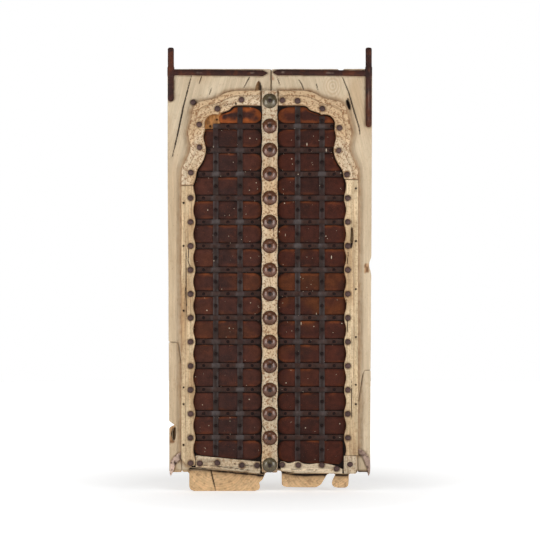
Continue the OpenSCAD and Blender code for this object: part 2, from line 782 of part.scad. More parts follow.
// Sickle-shaped foot strap that ends in a spike on the pivot axis
module foot_pivot(side) {
    e = pivot_x;
    i = stile_outer + 1;
    tip = corner_z - spike_l;
    outer = side == LEFT
        ? [[i, 129], [i + 15, 120], [e - 3, 103], [e + 2, 87], [e + 2, corner_z + 5], [e + 1, tip + 2]]
        : [[i, 140], [i + 13, 134], [e - 9, 124], [e + 2, 108],
           [e + 5, 90], [e + 4, corner_z + 4], [e + 1, tip + 2]];
    inner = side == LEFT
        ? [[i, 106], [i + 9, 99], [e - 14, 86], [e - 10, 70], [e - 1, tip + 2]]
        : [[i, 124], [i + 9, 117], [e - 16, 104], [e - 10, 88], [e - 5, 72], [e - 1, tip + 2]];
    color(PIVOT_IRON)
        on_leaf(side) {
            on_face(0, shoe_t)
                polygon(concat(curve(outer), reversed(curve(inner))));
            translate([e, face_y, tip])
                cylinder(r1 = 1, r2 = shoe_t, h = spike_l);
        }
}

// Ledges nailed across the back
module back_ledges(side) {
    h = ledge_w / 2;
    y = face_y + board_t;
    c = ledge_chamfer;
    start = abs(seam_u(side)) + 20;
    color(TIMBER)
        on_leaf(side)
            for (r = [0.5, 4.5, 8.5, 12.5])
                translate([start, 0, row_z(r)])
                    rotate([90, 0, 90])
                        linear_extrude(height = stile_outer - start)
                            polygon([[y, -h], [y + ledge_t - c, -h], [y + ledge_t, c - h],
                                     [y + ledge_t, h - c], [y + ledge_t - c, h], [y, h]]);
}

// Cover strip fixed to the right leaf, relieved where the left leaf closes behind it
module centre_batten() {
    steps = 8 * ROWS;
    edge = [for (i = [0 : steps]) let (z = batten_foot + (batten_top - batten_foot) * i / steps)
        [batten_half(z), z]];
    color(TIMBER)
        difference() {
            on_face(0, batten_t)
                polygon(concat(edge, [for (p = reversed(edge)) [-p[0], p[1]]]));
            translate([-batten_w, face_y - leaf_room, 0])
                cube([batten_w + seam_u(RIGHT), board_t, leaf_top]);
        }
}

// Domed sheet bosses
module boss(z) {
    r = (pow(boss_d / 2, 2) + boss_h * boss_h) / (2 * boss_h);
    translate([0, face_y - batten_t, z])
        rotate([90, 0, 0])
            difference() {
                intersection() {
                    translate([0, 0, boss_h - r])
                        sphere(r = r);
                    cylinder(d = boss_d + cut, h = boss_h + cut);
                }
                translate([0, 0, boss_h - r])
                    sphere(r = r - boss_t);
                cylinder(d = frame_shank_d + 2 * punch_room, h = boss_h + cut);
            }
}

module batten_bosses() {
    color(BOSS_METAL)
        for (z = boss_rows)
            boss(z);
}

module boss_nails() {
    color(NAIL_IRON)
        for (z = boss_rows)
            nail([0, z, boss_seat], boss_head_d, boss_head_h, frame_shank_d, boss_seat - leaf_room - cut);
}

plank(LEFT);  // left_plank
corner_board(LEFT);  // left_corner_board
arch_moulding(LEFT);  // left_arch_moulding
stile_moulding(LEFT);  // left_stile_moulding
bottom_moulding(LEFT);  // left_bottom_moulding
upright_straps(LEFT);  // left_upright_straps
cross_straps(LEFT);  // left_cross_straps
strap_nail_set(LEFT);  // left_strap_nails
frame_nail_set(LEFT);  // left_frame_nails
top_pivot(LEFT);  // left_top_pivot
foot_pivot(LEFT);  // left_foot_pivot
back_ledges(LEFT);  // left_back_ledges
plank(RIGHT);  // right_plank
corner_board(RIGHT);  // right_corner_board
arch_moulding(RIGHT);  // right_arch_moulding
stile_moulding(RIGHT);  // right_stile_moulding
bottom_moulding(RIGHT);  // right_bottom_moulding
corner_block();  // right_corner_block
upright_straps(RIGHT);  // right_upright_straps
cross_straps(RIGHT);  // right_cross_straps
strap_nail_set(RIGHT);  // right_strap_nails
frame_nail_set(RIGHT);  // right_frame_nails
top_pivot(RIGHT);  // right_top_pivot
foot_pivot(RIGHT);  // right_foot_pivot
back_ledges(RIGHT);  // right_back_ledges
centre_batten();
batten_bosses();
boss_nails();
for (i = [1 : FIELDS]) {
    plate(LEFT, FIELDS - i);
    plate(RIGHT, FIELDS - i);
}
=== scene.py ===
"""Looks of a pair of old iron-clad window shutters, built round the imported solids.

Lengths are in metres, the front faces -Y and +Z is up. Each piece takes its place and outline from its CAD
node: timber is the node's solid, remeshed, worn and stained, and iron is forged again over its sections.
"""

import json
import math

import bmesh
import bpy
import numpy as np
from mathutils.bvhtree import BVHTree
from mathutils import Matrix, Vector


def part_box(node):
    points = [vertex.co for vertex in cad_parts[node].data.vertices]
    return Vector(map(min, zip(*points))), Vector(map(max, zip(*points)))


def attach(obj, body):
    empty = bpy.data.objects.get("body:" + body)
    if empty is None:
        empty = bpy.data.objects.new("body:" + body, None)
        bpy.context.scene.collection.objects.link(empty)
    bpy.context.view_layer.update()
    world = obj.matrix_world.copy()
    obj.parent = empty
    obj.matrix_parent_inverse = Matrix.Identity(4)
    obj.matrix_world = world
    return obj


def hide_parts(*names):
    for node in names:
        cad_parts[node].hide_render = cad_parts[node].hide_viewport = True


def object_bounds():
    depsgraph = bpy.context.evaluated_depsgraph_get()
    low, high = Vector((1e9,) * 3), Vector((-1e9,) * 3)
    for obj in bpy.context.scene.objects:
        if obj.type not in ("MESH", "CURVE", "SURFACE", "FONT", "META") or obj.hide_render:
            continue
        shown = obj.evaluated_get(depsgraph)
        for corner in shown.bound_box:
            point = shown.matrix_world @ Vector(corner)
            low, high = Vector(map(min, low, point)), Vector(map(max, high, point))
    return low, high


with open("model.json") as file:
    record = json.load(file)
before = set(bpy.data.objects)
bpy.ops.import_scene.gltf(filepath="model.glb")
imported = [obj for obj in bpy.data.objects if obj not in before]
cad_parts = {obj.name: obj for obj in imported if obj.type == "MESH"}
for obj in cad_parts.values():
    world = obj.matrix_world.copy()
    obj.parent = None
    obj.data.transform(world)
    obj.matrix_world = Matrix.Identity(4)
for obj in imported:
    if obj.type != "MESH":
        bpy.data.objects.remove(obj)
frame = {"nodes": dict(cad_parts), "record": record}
CAD_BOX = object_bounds()
NODES = frame["nodes"]
RECORD = frame["record"]
BODY_OF = {n: body for body, names in RECORD["behaviour"]["bodies"].items() for n in names}
LEAVES = ("left", "right")
SIGN = {"left": -1, "right": 1}
MM = 0.001
X, Y, Z = 0, 1, 2

# Places read from the frame
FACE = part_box("right_plank")[0].y
PANEL_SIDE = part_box("right_stile_moulding")[0].x
STILE_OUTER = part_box("right_stile_moulding")[1].x
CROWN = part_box("right_plate_01")[1].z
RAIL_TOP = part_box("right_bottom_moulding")[1].z
FOOT_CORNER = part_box("right_corner_board")[0].z
BATTEN_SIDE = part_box("centre_batten")[1].x
HOLE_LINE = STILE_OUTER - 7 * MM
# Height above which the planks' grain leans and their heads are blotched
HEAD_FROM = CROWN - 0.2

# Mesh sizes
PLANK_VOXEL = 4.4 * MM
BOARD_VOXEL = 3 * MM
CARVED_VOXEL = 2.2 * MM
LEDGE_VOXEL = 5 * MM
FORGED_VOXEL = 1.7 * MM


def tone(red, green, blue):
    """A colour given as it looks on a screen, from 0 to 255, as linear light."""
    c = np.array((red, green, blue)) / 255
    return np.where(c < 0.04045, c / 12.92, ((c + 0.055) / 1.055) ** 2.4)


# Timber colours
BLEACHED = tone(212, 194, 166)
ASHEN = tone(204, 185, 157)
CREAM = tone(230, 210, 180)
STRAW = tone(232, 208, 170)
HONEY = tone(213, 184, 147)
BUFF = tone(190, 156, 116)
FRESH = tone(228, 191, 144)
TAN = tone(168, 133, 96)
UMBER = tone(112, 77, 50)
OCHRE = tone(178, 124, 72)
PITTED = tone(132, 88, 52)
# Near-black, used for painted shade in splits, holes, recesses and gaps, and for the darkest iron
SHADE_BLACK = tone(26, 16, 12)
LIME = tone(212, 194, 170)
# Iron colours
MAROON = tone(76, 44, 35)
LIVER = tone(54, 36, 33)
RUST = tone(150, 78, 36)
AMBER = tone(106, 58, 24)
CROSS = tone(57, 37, 30)
UPRIGHT = tone(48, 36, 32)
# Grey for rubbed wear and painted sheen on the straps' edges and crossings
STRAP_WEAR_AND_SHEEN = tone(84, 78, 77)
# Painted highlight and shade of the nail heads: each runs from a dark colour to a lit one
STRAP_NAIL_LIT = tone(32, 14, 11)
NAIL_DARK = tone(42, 23, 19)
NAIL_LIT = tone(88, 64, 59)
PIVOT = tone(62, 34, 27)
PIVOT_DARK = tone(48, 28, 24)
PIVOT_PALE = tone(206, 178, 160)
BOSS = tone(96, 58, 36)
BOSS_OLIVE = tone(92, 80, 56)


# Numbers

def smooth(low, high, value):
    t = np.clip((value - low) / (high - low), 0, 1)
    return t * t * (3 - 2 * t)


def mix(a, b, share):
    """From colour a to colour b, for each point's share."""
    return a + (b - a) * np.asarray(share)[:, None]


# Large odd numbers that scatter neighbouring cells and seeds
SCATTER = (73856093, 19349663, 83492791)
SEED_SCATTER = 40503
STIR = 1274126177


def lattice(cell, seed):
    """A scattered value from -1 to 1 for each cell of a grid."""
    h = cell[:, 0] * SCATTER[0] ^ cell[:, 1] * SCATTER[1] ^ cell[:, 2] * SCATTER[2] ^ seed * SEED_SCATTER
    h = ((h ^ (h >> 13)) * STIR) & 0xFFFFFFFF
    return ((h ^ (h >> 16)) & 0xFFFF) / 32767.5 - 1


def noise(p, seed):
    """Smooth noise from -1 to 1 at each point, one cell a unit."""
    cell = np.floor(p).astype(np.int64)
    f = p - cell
    f = f * f * (3 - 2 * f)
    total = np.zeros(len(p))
    for corner in np.ndindex(2, 2, 2):
        weight = np.prod(np.where(corner, f, 1 - f), axis=1)
        total += weight * lattice(cell + np.array(corner), seed)
    return total


def rough(p, per_metre, seed, octaves=3):
    """Layered noise, with the number of cells in a metre, for all axes or for each."""
    p = p * np.array(per_metre)
    layers = [noise(p * 2**k, seed + k) / 2**k for k in range(octaves)]
    return sum(layers) / 1.2


def line_distance(x, z, path):
    """Distance of each point from a broken line, and its place along it from 0 to 1."""
    path = np.array(path) * MM
    best, share = np.full(len(x), np.inf), np.zeros(len(x))
    for i, (a, b) in enumerate(zip(path, path[1:])):
        d = b - a
        t = np.clip(((x - a[0]) * d[0] + (z - a[1]) * d[1]) / (d @ d), 0, 1)
        away = np.hypot(x - a[0] - t * d[0], z - a[1] - t * d[1])
        share = np.where(away < best, (i + t) / (len(path) - 1), share)
        best = np.minimum(best, away)
    return best, share


# Meshes

def points(mesh):
    co = np.empty(len(mesh.vertices) * 3)
    mesh.vertices.foreach_get("co", co)
    return co.reshape(-1, 3)


def normals(mesh):
    no = np.empty(len(mesh.vertices) * 3)
    mesh.vertex_normals.foreach_get("vector", no)
    return no.reshape(-1, 3)


def remeshed(node, voxel, softening=0):
    """The solid of a CAD node as an even mesh to carve, its edges eased by some rounds of softening."""
    source = bpy.data.objects.new("source", NODES[node].data.copy())
    bpy.context.scene.collection.objects.link(source)
    remesh = source.modifiers.new("even", "REMESH")
    remesh.mode = "VOXEL"
    remesh.voxel_size = voxel
    if softening:
        ease = source.modifiers.new("ease", "SMOOTH")
        ease.factor, ease.iterations = 0.5, softening
    mesh = bpy.data.meshes.new_from_object(source.evaluated_get(bpy.context.evaluated_depsgraph_get()))
    bpy.data.objects.remove(source)
    return mesh


def hollows(mesh, co, no, spread):
    """How hollow the surface is at each point, below 0 on its edges, averaged over a few rounds."""
    ends = np.empty(len(mesh.edges) * 2, np.int32)
    mesh.edges.foreach_get("vertices", ends)
    a, b = ends.reshape(-1, 2).T
    count = np.bincount(a, minlength=len(co)) + np.bincount(b, minlength=len(co))

    def mean_of_neighbours(value):
        total = np.bincount(a, value[b], len(co)) + np.bincount(b, value[a], len(co))
        return total / np.maximum(count, 1)

    pull = np.stack([mean_of_neighbours(co[:, k]) for k in range(3)], axis=1) - co
    hollow = (pull * no).sum(1) / np.linalg.norm(co[a] - co[b], axis=1).mean()
    for _ in range(spread):
        hollow = 0.4 * hollow + 0.6 * mean_of_neighbours(hollow)
    return hollow


def nearest(co, asked, names, reach):
    """Distance from each asked point to the nearest surface of some nodes, no more than the reach."""
    away = np.full(len(co), reach)
    for name in names:
        mesh = NODES[name].data
        tree = BVHTree.FromPolygons([v.co for v in mesh.vertices], [p.vertices[:] for p in mesh.polygons])
        for i in np.flatnonzero(asked):
            found = tree.find_nearest(co[i], reach)[3]
            if found is not None and found < away[i]:
                away[i] = found
    return away


def refined(mesh, wanted):
    """Halves the mesh size where the faces' middles are wanted."""
    bm = bmesh.new()
    bm.from_mesh(mesh)
    middles = np.array([f.calc_center_median() for f in bm.faces])
    facing = np.array([f.normal for f in bm.faces])
    keep = wanted(middles, facing)
    bm.faces.ensure_lookup_table()
    edges = {e for i in np.flatnonzero(keep) for e in bm.faces[i].edges}
    bmesh.ops.subdivide_edges(bm, edges=list(edges), cuts=1, use_grid_fill=True)
    bm.to_mesh(mesh)
    bm.free()
    return mesh


def solids(node):
    """The separate solids of a node, each as its points and its edges."""
    bm = bmesh.new()
    bm.from_mesh(NODES[node].data)
    bmesh.ops.remove_doubles(bm, verts=bm.verts, dist=1e-6)
    found, seen = [], set()
    for start in bm.verts:
        if start in seen:
            continue
        group, queue = [], [start]
        seen.add(start)
        while queue:
            v = queue.pop()
            group.append(v)
            for e in v.link_edges:
                w = e.other_vert(v)
                if w not in seen:
                    seen.add(w)
                    queue.append(w)
        number = {v: i for i, v in enumerate(group)}
        edges = {e for v in group for e in v.link_edges}
        found.append((np.array([v.co for v in group]),
                      np.array([[number[v] for v in e.verts] for e in edges])))
    bm.free()
    return found


def section(solid, axis, value):
    """Points where a solid's edges cross a plane."""
    p, e = solid
    a, b = p[e[:, 0]], p[e[:, 1]]
    run = b[:, axis] - a[:, axis]
    hit = ((a[:, axis] - value) * (b[:, axis] - value) <= 0) & (abs(run) > 1e-7)
    t = (value - a[hit, axis]) / run[hit]
    return a[hit] + t[:, None] * (b - a)[hit]


def grid_faces(rows, columns, closed=False):
    """Quads of a grid of points, closed round its columns where asked."""
    faces = []
    for r in range(rows - 1):
        for c in range(columns if closed else columns - 1):
            d = (c + 1) % columns
            faces.append([r * columns + c, r * columns + d, (r + 1) * columns + d, (r + 1) * columns + c])
    return faces


def tube_faces(rows, segments):
    """Faces of a closed tube of rings, capped at both ends."""
    last = (rows - 1) * segments
    caps = [list(range(segments)), [last + i for i in range(segments)][::-1]]
    return grid_faces(rows, segments, closed=True) + caps


def rim_of(rows, columns):
    """The points round the rim of a grid, in order."""
    last = rows * columns - 1
    there = list(range(columns)) + [r * columns + columns - 1 for r in range(1, rows)]
    return there + [last - c for c in range(1, columns)] + [r * columns for r in range(rows - 2, 0, -1)]


def circle(radius, y, segments, oval=1):
    """A ring of points round the Y axis."""
    angles = np.arange(segments) / segments * 2 * math.pi
    return np.stack([radius * np.cos(angles), np.full(segments, y), radius * oval * np.sin(angles)], axis=1)


def piece(name, node, mesh, tint, grain, material):
    """Makes a shown piece of a mesh: its colour and grain at each point, its body and its node."""
    mesh.name = name
    rgba = np.ones((len(mesh.vertices), 4), np.float32)
    rgba[:, :3] = np.clip(tint, 0, 1)
    mesh.attributes.new("tint", "FLOAT_COLOR", "POINT").data.foreach_set("color", rgba.ravel())
    mesh.attributes.new("grain", "FLOAT_VECTOR", "POINT").data.foreach_set(
        "vector", np.asarray(grain, np.float32).ravel())
    mesh.polygons.foreach_set("use_smooth", np.ones(len(mesh.polygons), bool))
    mesh.materials.clear()
    mesh.materials.append(material)
    mesh.update()
    made = bpy.data.objects.new(name, mesh)
    bpy.context.scene.collection.objects.link(made)
    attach(made, BODY_OF[node])
    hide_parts(node)


def mesh_of(parts):
    """One mesh of several closed parts, each as its points and its faces, with every face turned outwards."""
    co, faces = [], []
    for p, f in parts:
        start = sum(len(c) for c in co)
        co.append(np.asarray(p))
        faces += [[start + i for i in face] for face in f]
    mesh = bpy.data.meshes.new("parts")
    mesh.from_pydata(np.vstack(co).tolist(), [], faces)
    bm = bmesh.new()
    bm.from_mesh(mesh)
    bmesh.ops.recalc_face_normals(bm, faces=bm.faces)
    bm.to_mesh(mesh)
    bm.free()
    return mesh


# Materials

def add(tree, kind, inputs=None, **settings):
    """Adds a shader node whose inputs are values or other nodes' outputs."""
    made = tree.nodes.new(kind)
    for key, value in settings.items():
        setattr(made, key, value)
    for key, value in (inputs or {}).items():
        if isinstance(value, bpy.types.NodeSocket):
            tree.links.new(value, made.inputs[key])
        else:
            made.inputs[key].default_value = value
    return made


def new_material(name):
    material = bpy.data.materials.new(name)
    material.use_nodes = True
    material.node_tree.nodes.clear()
    return material, material.node_tree


def maths(tree, operation, a, b):
    return add(tree, "ShaderNodeMath", {0: a, 1: b}, operation=operation).outputs[0]


def laid_grain(tree, stretch):
    """Places in the piece's own grain, with a stretch along it."""
    grain = add(tree, "ShaderNodeAttribute", attribute_name="grain").outputs["Vector"]
    return add(tree, "ShaderNodeMapping", {"Vector": grain, "Scale": (1, 1, stretch)}).outputs["Vector"]


def grained(tree, stretch, scale, detail):
    """Noise laid along the piece's own grain."""
    laid = laid_grain(tree, stretch)
    return add(tree, "ShaderNodeTexNoise",
               {"Vector": laid, "Scale": scale, "Detail": detail, "Roughness": 0.6}).outputs["Fac"]


def ramped(tree, fac, low, high, dark, light):
    """A grey or a colour that runs from dark to light as fac goes from low to high."""
    ramp = add(tree, "ShaderNodeValToRGB", {"Fac": fac})
    for stop, place, colour in zip(ramp.color_ramp.elements, (low, high), (dark, light)):
        stop.position = place
        stop.color = (*colour, 1) if isinstance(colour, tuple) else (colour,) * 3 + (1,)
    return ramp.outputs["Color"]


def blended(tree, kind, share, a, b):
    """Colour b laid over colour a, by a share."""
    return add(tree, "ShaderNodeMix", {0: share, 6: a, 7: b}, data_type="RGBA", blend_type=kind).outputs[2]


def bumped(tree, *layers):
    """A surface raised in layers, each with its height, strength and distance."""
    inputs = {}
    for height, strength, distance in layers:
        inputs.update(Height=height, Strength=strength, Distance=distance)
        inputs["Normal"] = add(tree, "ShaderNodeBump", inputs).outputs["Normal"]
    return inputs["Normal"]


def timber_material(name, contrast, flaws):
    """Bleached timber: the painted tone, streaked and pored along the grain, with small brown flaws."""
    material, tree = new_material(name)
    tint = add(tree, "ShaderNodeAttribute", attribute_name="tint").outputs["Color"]
    streaks = grained(tree, 0.06, 150, 5)
    fibres = grained(tree, 0.025, 700, 3)
    pores = grained(tree, 0.16, 620, 2)
    blotches = grained(tree, 0.3, 26, 4)
    eaten = grained(tree, 1, 165, 3)
    streaked = ramped(tree, streaks, 0.3, 0.7, 1 - contrast, 1 + 0.4 * contrast)
    blotched = ramped(tree, blotches, 0.3, 0.7, (0.91, 0.88, 0.84), 1.05)
    colour = blended(tree, "MULTIPLY", 1.0, tint, streaked)
    colour = blended(tree, "MULTIPLY", 0.8, colour, ramped(tree, fibres, 0.25, 0.6, 1 - contrast, 1.05))
    colour = blended(tree, "MULTIPLY", 1.0, colour, blotched)
    colour = blended(tree, "MIX", ramped(tree, pores, 0.27, 0.34, 0.5, 0.0), colour, (*UMBER, 1))
    colour = blended(tree, "MIX", ramped(tree, eaten, 0.4, 0.48, flaws, 0.0), colour, (*PITTED, 1))
    bump = bumped(tree, (fibres, 0.5, 0.6 * MM), (streaks, 0.6, 1 * MM))
    shader = add(tree, "ShaderNodeBsdfPrincipled", {
        "Base Color": colour, "Roughness": ramped(tree, streaks, 0.2, 0.8, 0.7, 0.92),
        "Specular IOR Level": 0.25, "Normal": bump})
    add(tree, "ShaderNodeOutputMaterial", {"Surface": shader.outputs["BSDF"]}).is_active_output = True
    return material


def splashes(tree, share, scale, stretch):
    """Small dots or drips here and there, as of old limewash: one in some of the cells of a loose pattern."""
    cells = add(tree, "ShaderNodeTexVoronoi", {"Vector": laid_grain(tree, stretch), "Scale": scale}).outputs
    dot = ramped(tree, cells["Distance"], 0.05, 0.09, 1.0, 0.0)
    lucky = add(tree, "ShaderNodeSeparateColor", {"Color": cells["Color"]}).outputs["Red"]
    return maths(tree, "MULTIPLY", dot, maths(tree, "LESS_THAN", lucky, share))


def iron_material(name, dull, mottle, rust, specular, metallic=0.0, lime=0.0):
    """Old iron: the painted tone, mottled and flecked with rust and lime, over a hammered skin."""
    material, tree = new_material(name)
    tint = add(tree, "ShaderNodeAttribute", attribute_name="tint").outputs["Color"]
    clouds = grained(tree, 1, 55, 6)
    specks = grained(tree, 1, 420, 3)
    hammer = grained(tree, 1, 120, 2)
    colour = blended(tree, "MULTIPLY", 1.0, tint, ramped(tree, clouds, 0.3, 0.72, 1 - mottle, 1 + mottle))
    colour = blended(tree, "MULTIPLY", 0.7, colour, ramped(tree, specks, 0.3, 0.7, 0.7, 1.15))
    flecks = ramped(tree, specks, 0.62, 0.74, 0.0, rust)
    colour = blended(tree, "MIX", flecks, colour, (*RUST, 1))
    for share, scale, stretch in ((lime, 44, 1), (lime, 75, 1), (0.6 * lime, 60, 0.22)):
        colour = blended(tree, "MIX", splashes(tree, share, scale, stretch), colour, (*LIME, 1))
    bump = bumped(tree, (specks, 0.35, 0.5 * MM), (hammer, 0.4, 1.2 * MM))
    shader = add(tree, "ShaderNodeBsdfPrincipled", {
        "Base Color": colour, "Metallic": metallic, "Specular IOR Level": specular,
        "Roughness": ramped(tree, clouds, 0.3, 0.7, *dull), "Normal": bump})
    add(tree, "ShaderNodeOutputMaterial", {"Surface": shader.outputs["BSDF"]}).is_active_output = True
    return material


PLAIN_TIMBER = timber_material("weathered_timber", contrast=0.15, flaws=0.0)
CARVED_TIMBER = timber_material("carved_timber", contrast=0.18, flaws=0.8)
STRAIGHT_TIMBER = timber_material("straight_timber", contrast=0.35, flaws=0.3)
RAIL_TIMBER = timber_material("ragged_timber", contrast=0.4, flaws=0.5)
PLATE_IRON = iron_material("plate_iron", dull=(0.5, 0.72), mottle=0.32, rust=0.4, specular=0.12, lime=0.42)
STRAP_IRON = iron_material("strap_iron", dull=(0.42, 0.62), mottle=0.3, rust=0.2, specular=0.17, lime=0.15)
NAIL_IRON = iron_material("nail_iron", dull=(0.42, 0.65), mottle=0.25, rust=0.2, specular=0.35, metallic=0.1)
STRAP_NAIL_IRON = iron_material("strap_nail_iron", dull=(0.5, 0.7), mottle=0.25, rust=0.2, specular=0.15)
PIVOT_IRON = iron_material("pivot_iron", dull=(0.5, 0.7), mottle=0.3, rust=0.38, specular=0.18)
BOSS_METAL = iron_material("boss_metal", dull=(0.18, 0.32), mottle=0.3, rust=0.15, specular=0.65,
                           metallic=0.15)


# Timber

# Middles that the growth rings of the tongues and the grain of the arch run round, across and up
TONGUE_RINGS = (0.17, 0.11)
ARCH_RINGS = (0.06, 1.0)


def upright_grain(co):
    return co.copy()


def plank_grain(leaf):
    """Upright grain that leans beside the arch, as the planks' splits do, and curls on the tongues."""
    lean = 0.25 * SIGN[leaf]

    def grain_of(co):
        u, v = abs(co[:, X]) - TONGUE_RINGS[0], co[:, Z] - TONGUE_RINGS[1]
        rise = np.maximum(co[:, Z] - HEAD_FROM, 0)
        leaning = np.stack([co[:, X] + lean * rise, co[:, Y], co[:, Z]], axis=1)
        curled = np.stack([np.hypot(u, v), co[:, Y], np.arctan2(v, u) * 0.08], axis=1)
        return np.where((co[:, Z] < FOOT_CORNER)[:, None], curled, leaning)
    return grain_of


def level_grain(co):
    return co[:, [Z, Y, X]]


def arch_grain(co):
    """Grain that follows the arch, round a point below its crown."""
    u, v = abs(co[:, X]) - ARCH_RINGS[0], co[:, Z] - ARCH_RINGS[1]
    return np.stack([np.hypot(u, v), co[:, Y], np.arctan2(v, u) * 0.25], axis=1)


def weathered(grain, seed, waves, ridges, pits):
    """How far old timber stands out or is worn back at each point, and how pitted it is there."""
    wave = waves * rough(grain, (12, 12, 4), seed)
    ridge = ridges * rough(grain, (230, 90, 5), seed + 11)
    pitted = smooth(0.3, 0.7, rough(grain, (150, 150, 80), seed + 23))
    return wave + ridge - pits * pitted, pitted


def stained(grain, seed, pale, warm, streak):
    """The tone of bare timber: blotches between two colours, with streaks along the grain."""
    blotch = smooth(-0.35, 0.5, rough(grain, (16, 16, 4), seed + 31))
    return mix(pale, warm, blotch) * (1 + streak * rough(grain, (95, 50, 2.5), seed + 37))[:, None]


# Splits, knots and a worn slot as paths in millimetres across and up, with their widths
SPLITS = {
    "left_plank": [([(-254, 1354), (-280, 1255), (-297, 1172), (-316, 1090)], 5.5),
                   ([(-220, 1354), (-230, 1324)], 3), ([(-64, 1350), (-75, 1330), (-87, 1308)], 3),
                   ([(-188, 1315), (-197, 1289)], 2.5), ([(-193, 74), (-185, 38), (-176, 1)], 5),
                   ([(-172, 1211), (-171, 1207)], 8), ([(-194, 1190), (-193, 1186)], 7)],
    "left_corner_board": [([(-315, 204), (-317, 188), (-313, 165)], 9)],
    "right_plank": [([(236, 1347), (257, 1297), (270, 1250), (290, 1185), (293, 1162)], 5),
                    ([(93, 1341), (103, 1325), (111, 1305)], 3), ([(24, 1347), (33, 1321)], 2.5),
                    ([(150, 1330), (156, 1306)], 2), ([(254, 1277), (259, 1243)], 12)],
    "left_stile_moulding": [([(-270.5, 790), (-271, 690), (-270, 557)], 2.6), ([(-262, 800), (-264, 740)], 2),
                            ([(-269, 765), (-262, 741), (-253, 718)], 2.4),
                            ([(-275, 668), (-269, 603)], 2.2)],
    "right_stile_moulding": [([(264, 400), (266, 200)], 1.4), ([(254, 778), (251, 733)], 2.2),
                             ([(251, 566), (253, 512)], 2.6), ([(246, 635), (248, 603)], 1.8),
                             ([(266.5, 857), (267, 832), (265.5, 808), (264, 792)], 10.5)],
    "centre_batten": [([(-25, 216), (-18, 207), (-13, 199)], 2.6), ([(12, 860), (10, 790)], 1.8),
                      ([(-14, 560), (-12, 500)], 1.6), ([(8, 330), (11, 280)], 1.6)],
    "left_arch_moulding": [([(-150, 1251), (-143, 1258)], 2.6), ([(-140, 1253), (-133, 1260)], 2.6),
                           ([(-131, 1256), (-124, 1262)], 2.6), ([(-111, 1264), (-109, 1256)], 7)],
    "left_bottom_moulding": [([(-220, 88), (-140, 80), (-60, 70)], 2.2), ([(-120, 92), (-50, 84)], 1.8)],
    "right_bottom_moulding": [([(70, 74), (130, 72), (190, 73)], 1.8)],
}


def split_open(node, co, facing):
    """How deep the splits of a node cut at each point, from 0 to 1."""
    depth = np.zeros(len(co))
    for path, width in SPLITS.get(node, []):
        away, share = line_distance(co[:, X], co[:, Z], path)
        away = away + 0.5 * MM * noise(co * 180, 5)
        half = width / 2 * MM * np.sqrt(np.sin(math.pi * np.clip(share, 0.04, 0.96)))
        depth = np.maximum(depth, 1 - smooth(0.5 * half, 1.3 * half, away))
    return depth * facing


def finish_timber(node, mesh, material, grain_of, seed, wear, pale, warm, streak, paint=None):
    """Wears, splits and stains a timber mesh, with painted shade in its hollows and splits, and shows it for
    its node.

    The wear is how deep its waves, its ridges and its pits are, in millimetres.
    """
    waves, ridges, pits = (depth * MM for depth in wear)
    co, no = points(mesh), normals(mesh)
    grain = grain_of(co)
    facing = smooth(0.3, 0.8, -no[:, Y])
    worn, pitted = weathered(grain, seed, waves, ridges, pits)
    split = split_open(node, co, facing)
    # Faces that lap at the batten are only worn back, so that the leaves don't meet
    lapped = (abs(co[:, X]) < BATTEN_SIDE + 4 * MM) & (("plank" in node) | (no[:, Y] > 0.3))
    worn = np.where(lapped, np.minimum(worn, 0) - 0.2 * MM, worn)
    tint = stained(grain, seed, pale, warm, streak)
    tint = mix(tint, TAN, 0.7 * pitted * min(1, pits / MM))
    hollow = hollows(mesh, co, no, 3)
    # Painted shade darkens the hollows; the crests are lightened, partly as wear and partly as painted
    # highlight
    tint = mix(tint, UMBER, 0.75 * smooth(0.03, 0.2, hollow))
    tint = mix(tint, BLEACHED, 0.35 * smooth(0.05, 0.2, -hollow))
    if paint:
        tint = paint(co, no, facing, tint)
    # Painted shade: black inside the splits, which are also set back
    tint = mix(tint, SHADE_BLACK, split)
    moved = co + no * worn[:, None]
    moved[:, Y] += 4 * MM * split
    mesh.vertices.foreach_set("co", moved.ravel())
    piece(node + "_worn", node, mesh, tint, grain, material)


def within(x, z, box, edge=6 * MM):
    """1 inside a box of millimetres (left, right, low, high), fading over a soft and ragged edge."""
    left, right, low, high = (v * MM for v in box)
    inset = np.minimum(np.minimum(x - left, right - x), np.minimum(z - low, high - z))
    ragged = 3 * MM * noise(np.stack([x, 0 * x, z], axis=1) * 120, 77)
    return smooth(-edge / 2, edge / 2, inset + ragged)


# Boxes in millimetres across and up
BARE_PATCH = (-214, -158, 1168, 1236)
EATEN_CORNER = (-50, -26, 1296, 1340)
SEAM_RUST = (0, 12, 1338, 1354)
GASH = {"left": (-325, -308, 158, 216), "right": (309, 321, 712, 742)}
# The middle of a knot, and where the floor of the eaten corner ends
KNOT = (205 * MM, 1318 * MM)
EATEN_SIDE = -34 * MM
# Warmth of the strips beside the stiles, and the heights between which it fades
STRIP_WARMTH = {"left": 0.3, "right": 0.1}
STRIP_FADE = (1.0, 1.2)
# Material and two colours of each bottom moulding
RAIL_LOOKS = {"left": (RAIL_TIMBER, BLEACHED, HONEY), "right": (STRAIGHT_TIMBER, CREAM, CREAM)}


def opening_side(leaf):
    """Heights, and how far out the opening between the mouldings reaches at each."""
    arch = solids(leaf + "_arch_moulding")[0]
    heights = np.linspace(arch[0][:, Z].min() + MM, CROWN, 60)
    return heights, np.array([abs(section(arch, Z, z)[:, X]).min() for z in heights])


def rail_foot(leaf):
    """Places across, and the height of the bottom moulding's lower edge at each."""
    rail = solids(leaf + "_bottom_moulding")[0]
    low, high = rail[0].min(0), rail[0].max(0)
    across = np.linspace(low[X] + MM, high[X] - MM, 40)
    return across, np.array([section(rail, X, x)[:, Z].min() for x in across])


def on_hole_line(leaf, co, reach):
    """Which points lie on the line of a stile's old nail holes, clear of the stile's ends."""
    low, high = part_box(leaf + "_stile_moulding")
    clear = 20 * MM
    return (abs(abs(co[:, X]) - HOLE_LINE) < reach) & (co[:, Z] > low.z + clear) & (co[:, Z] < high.z - clear)


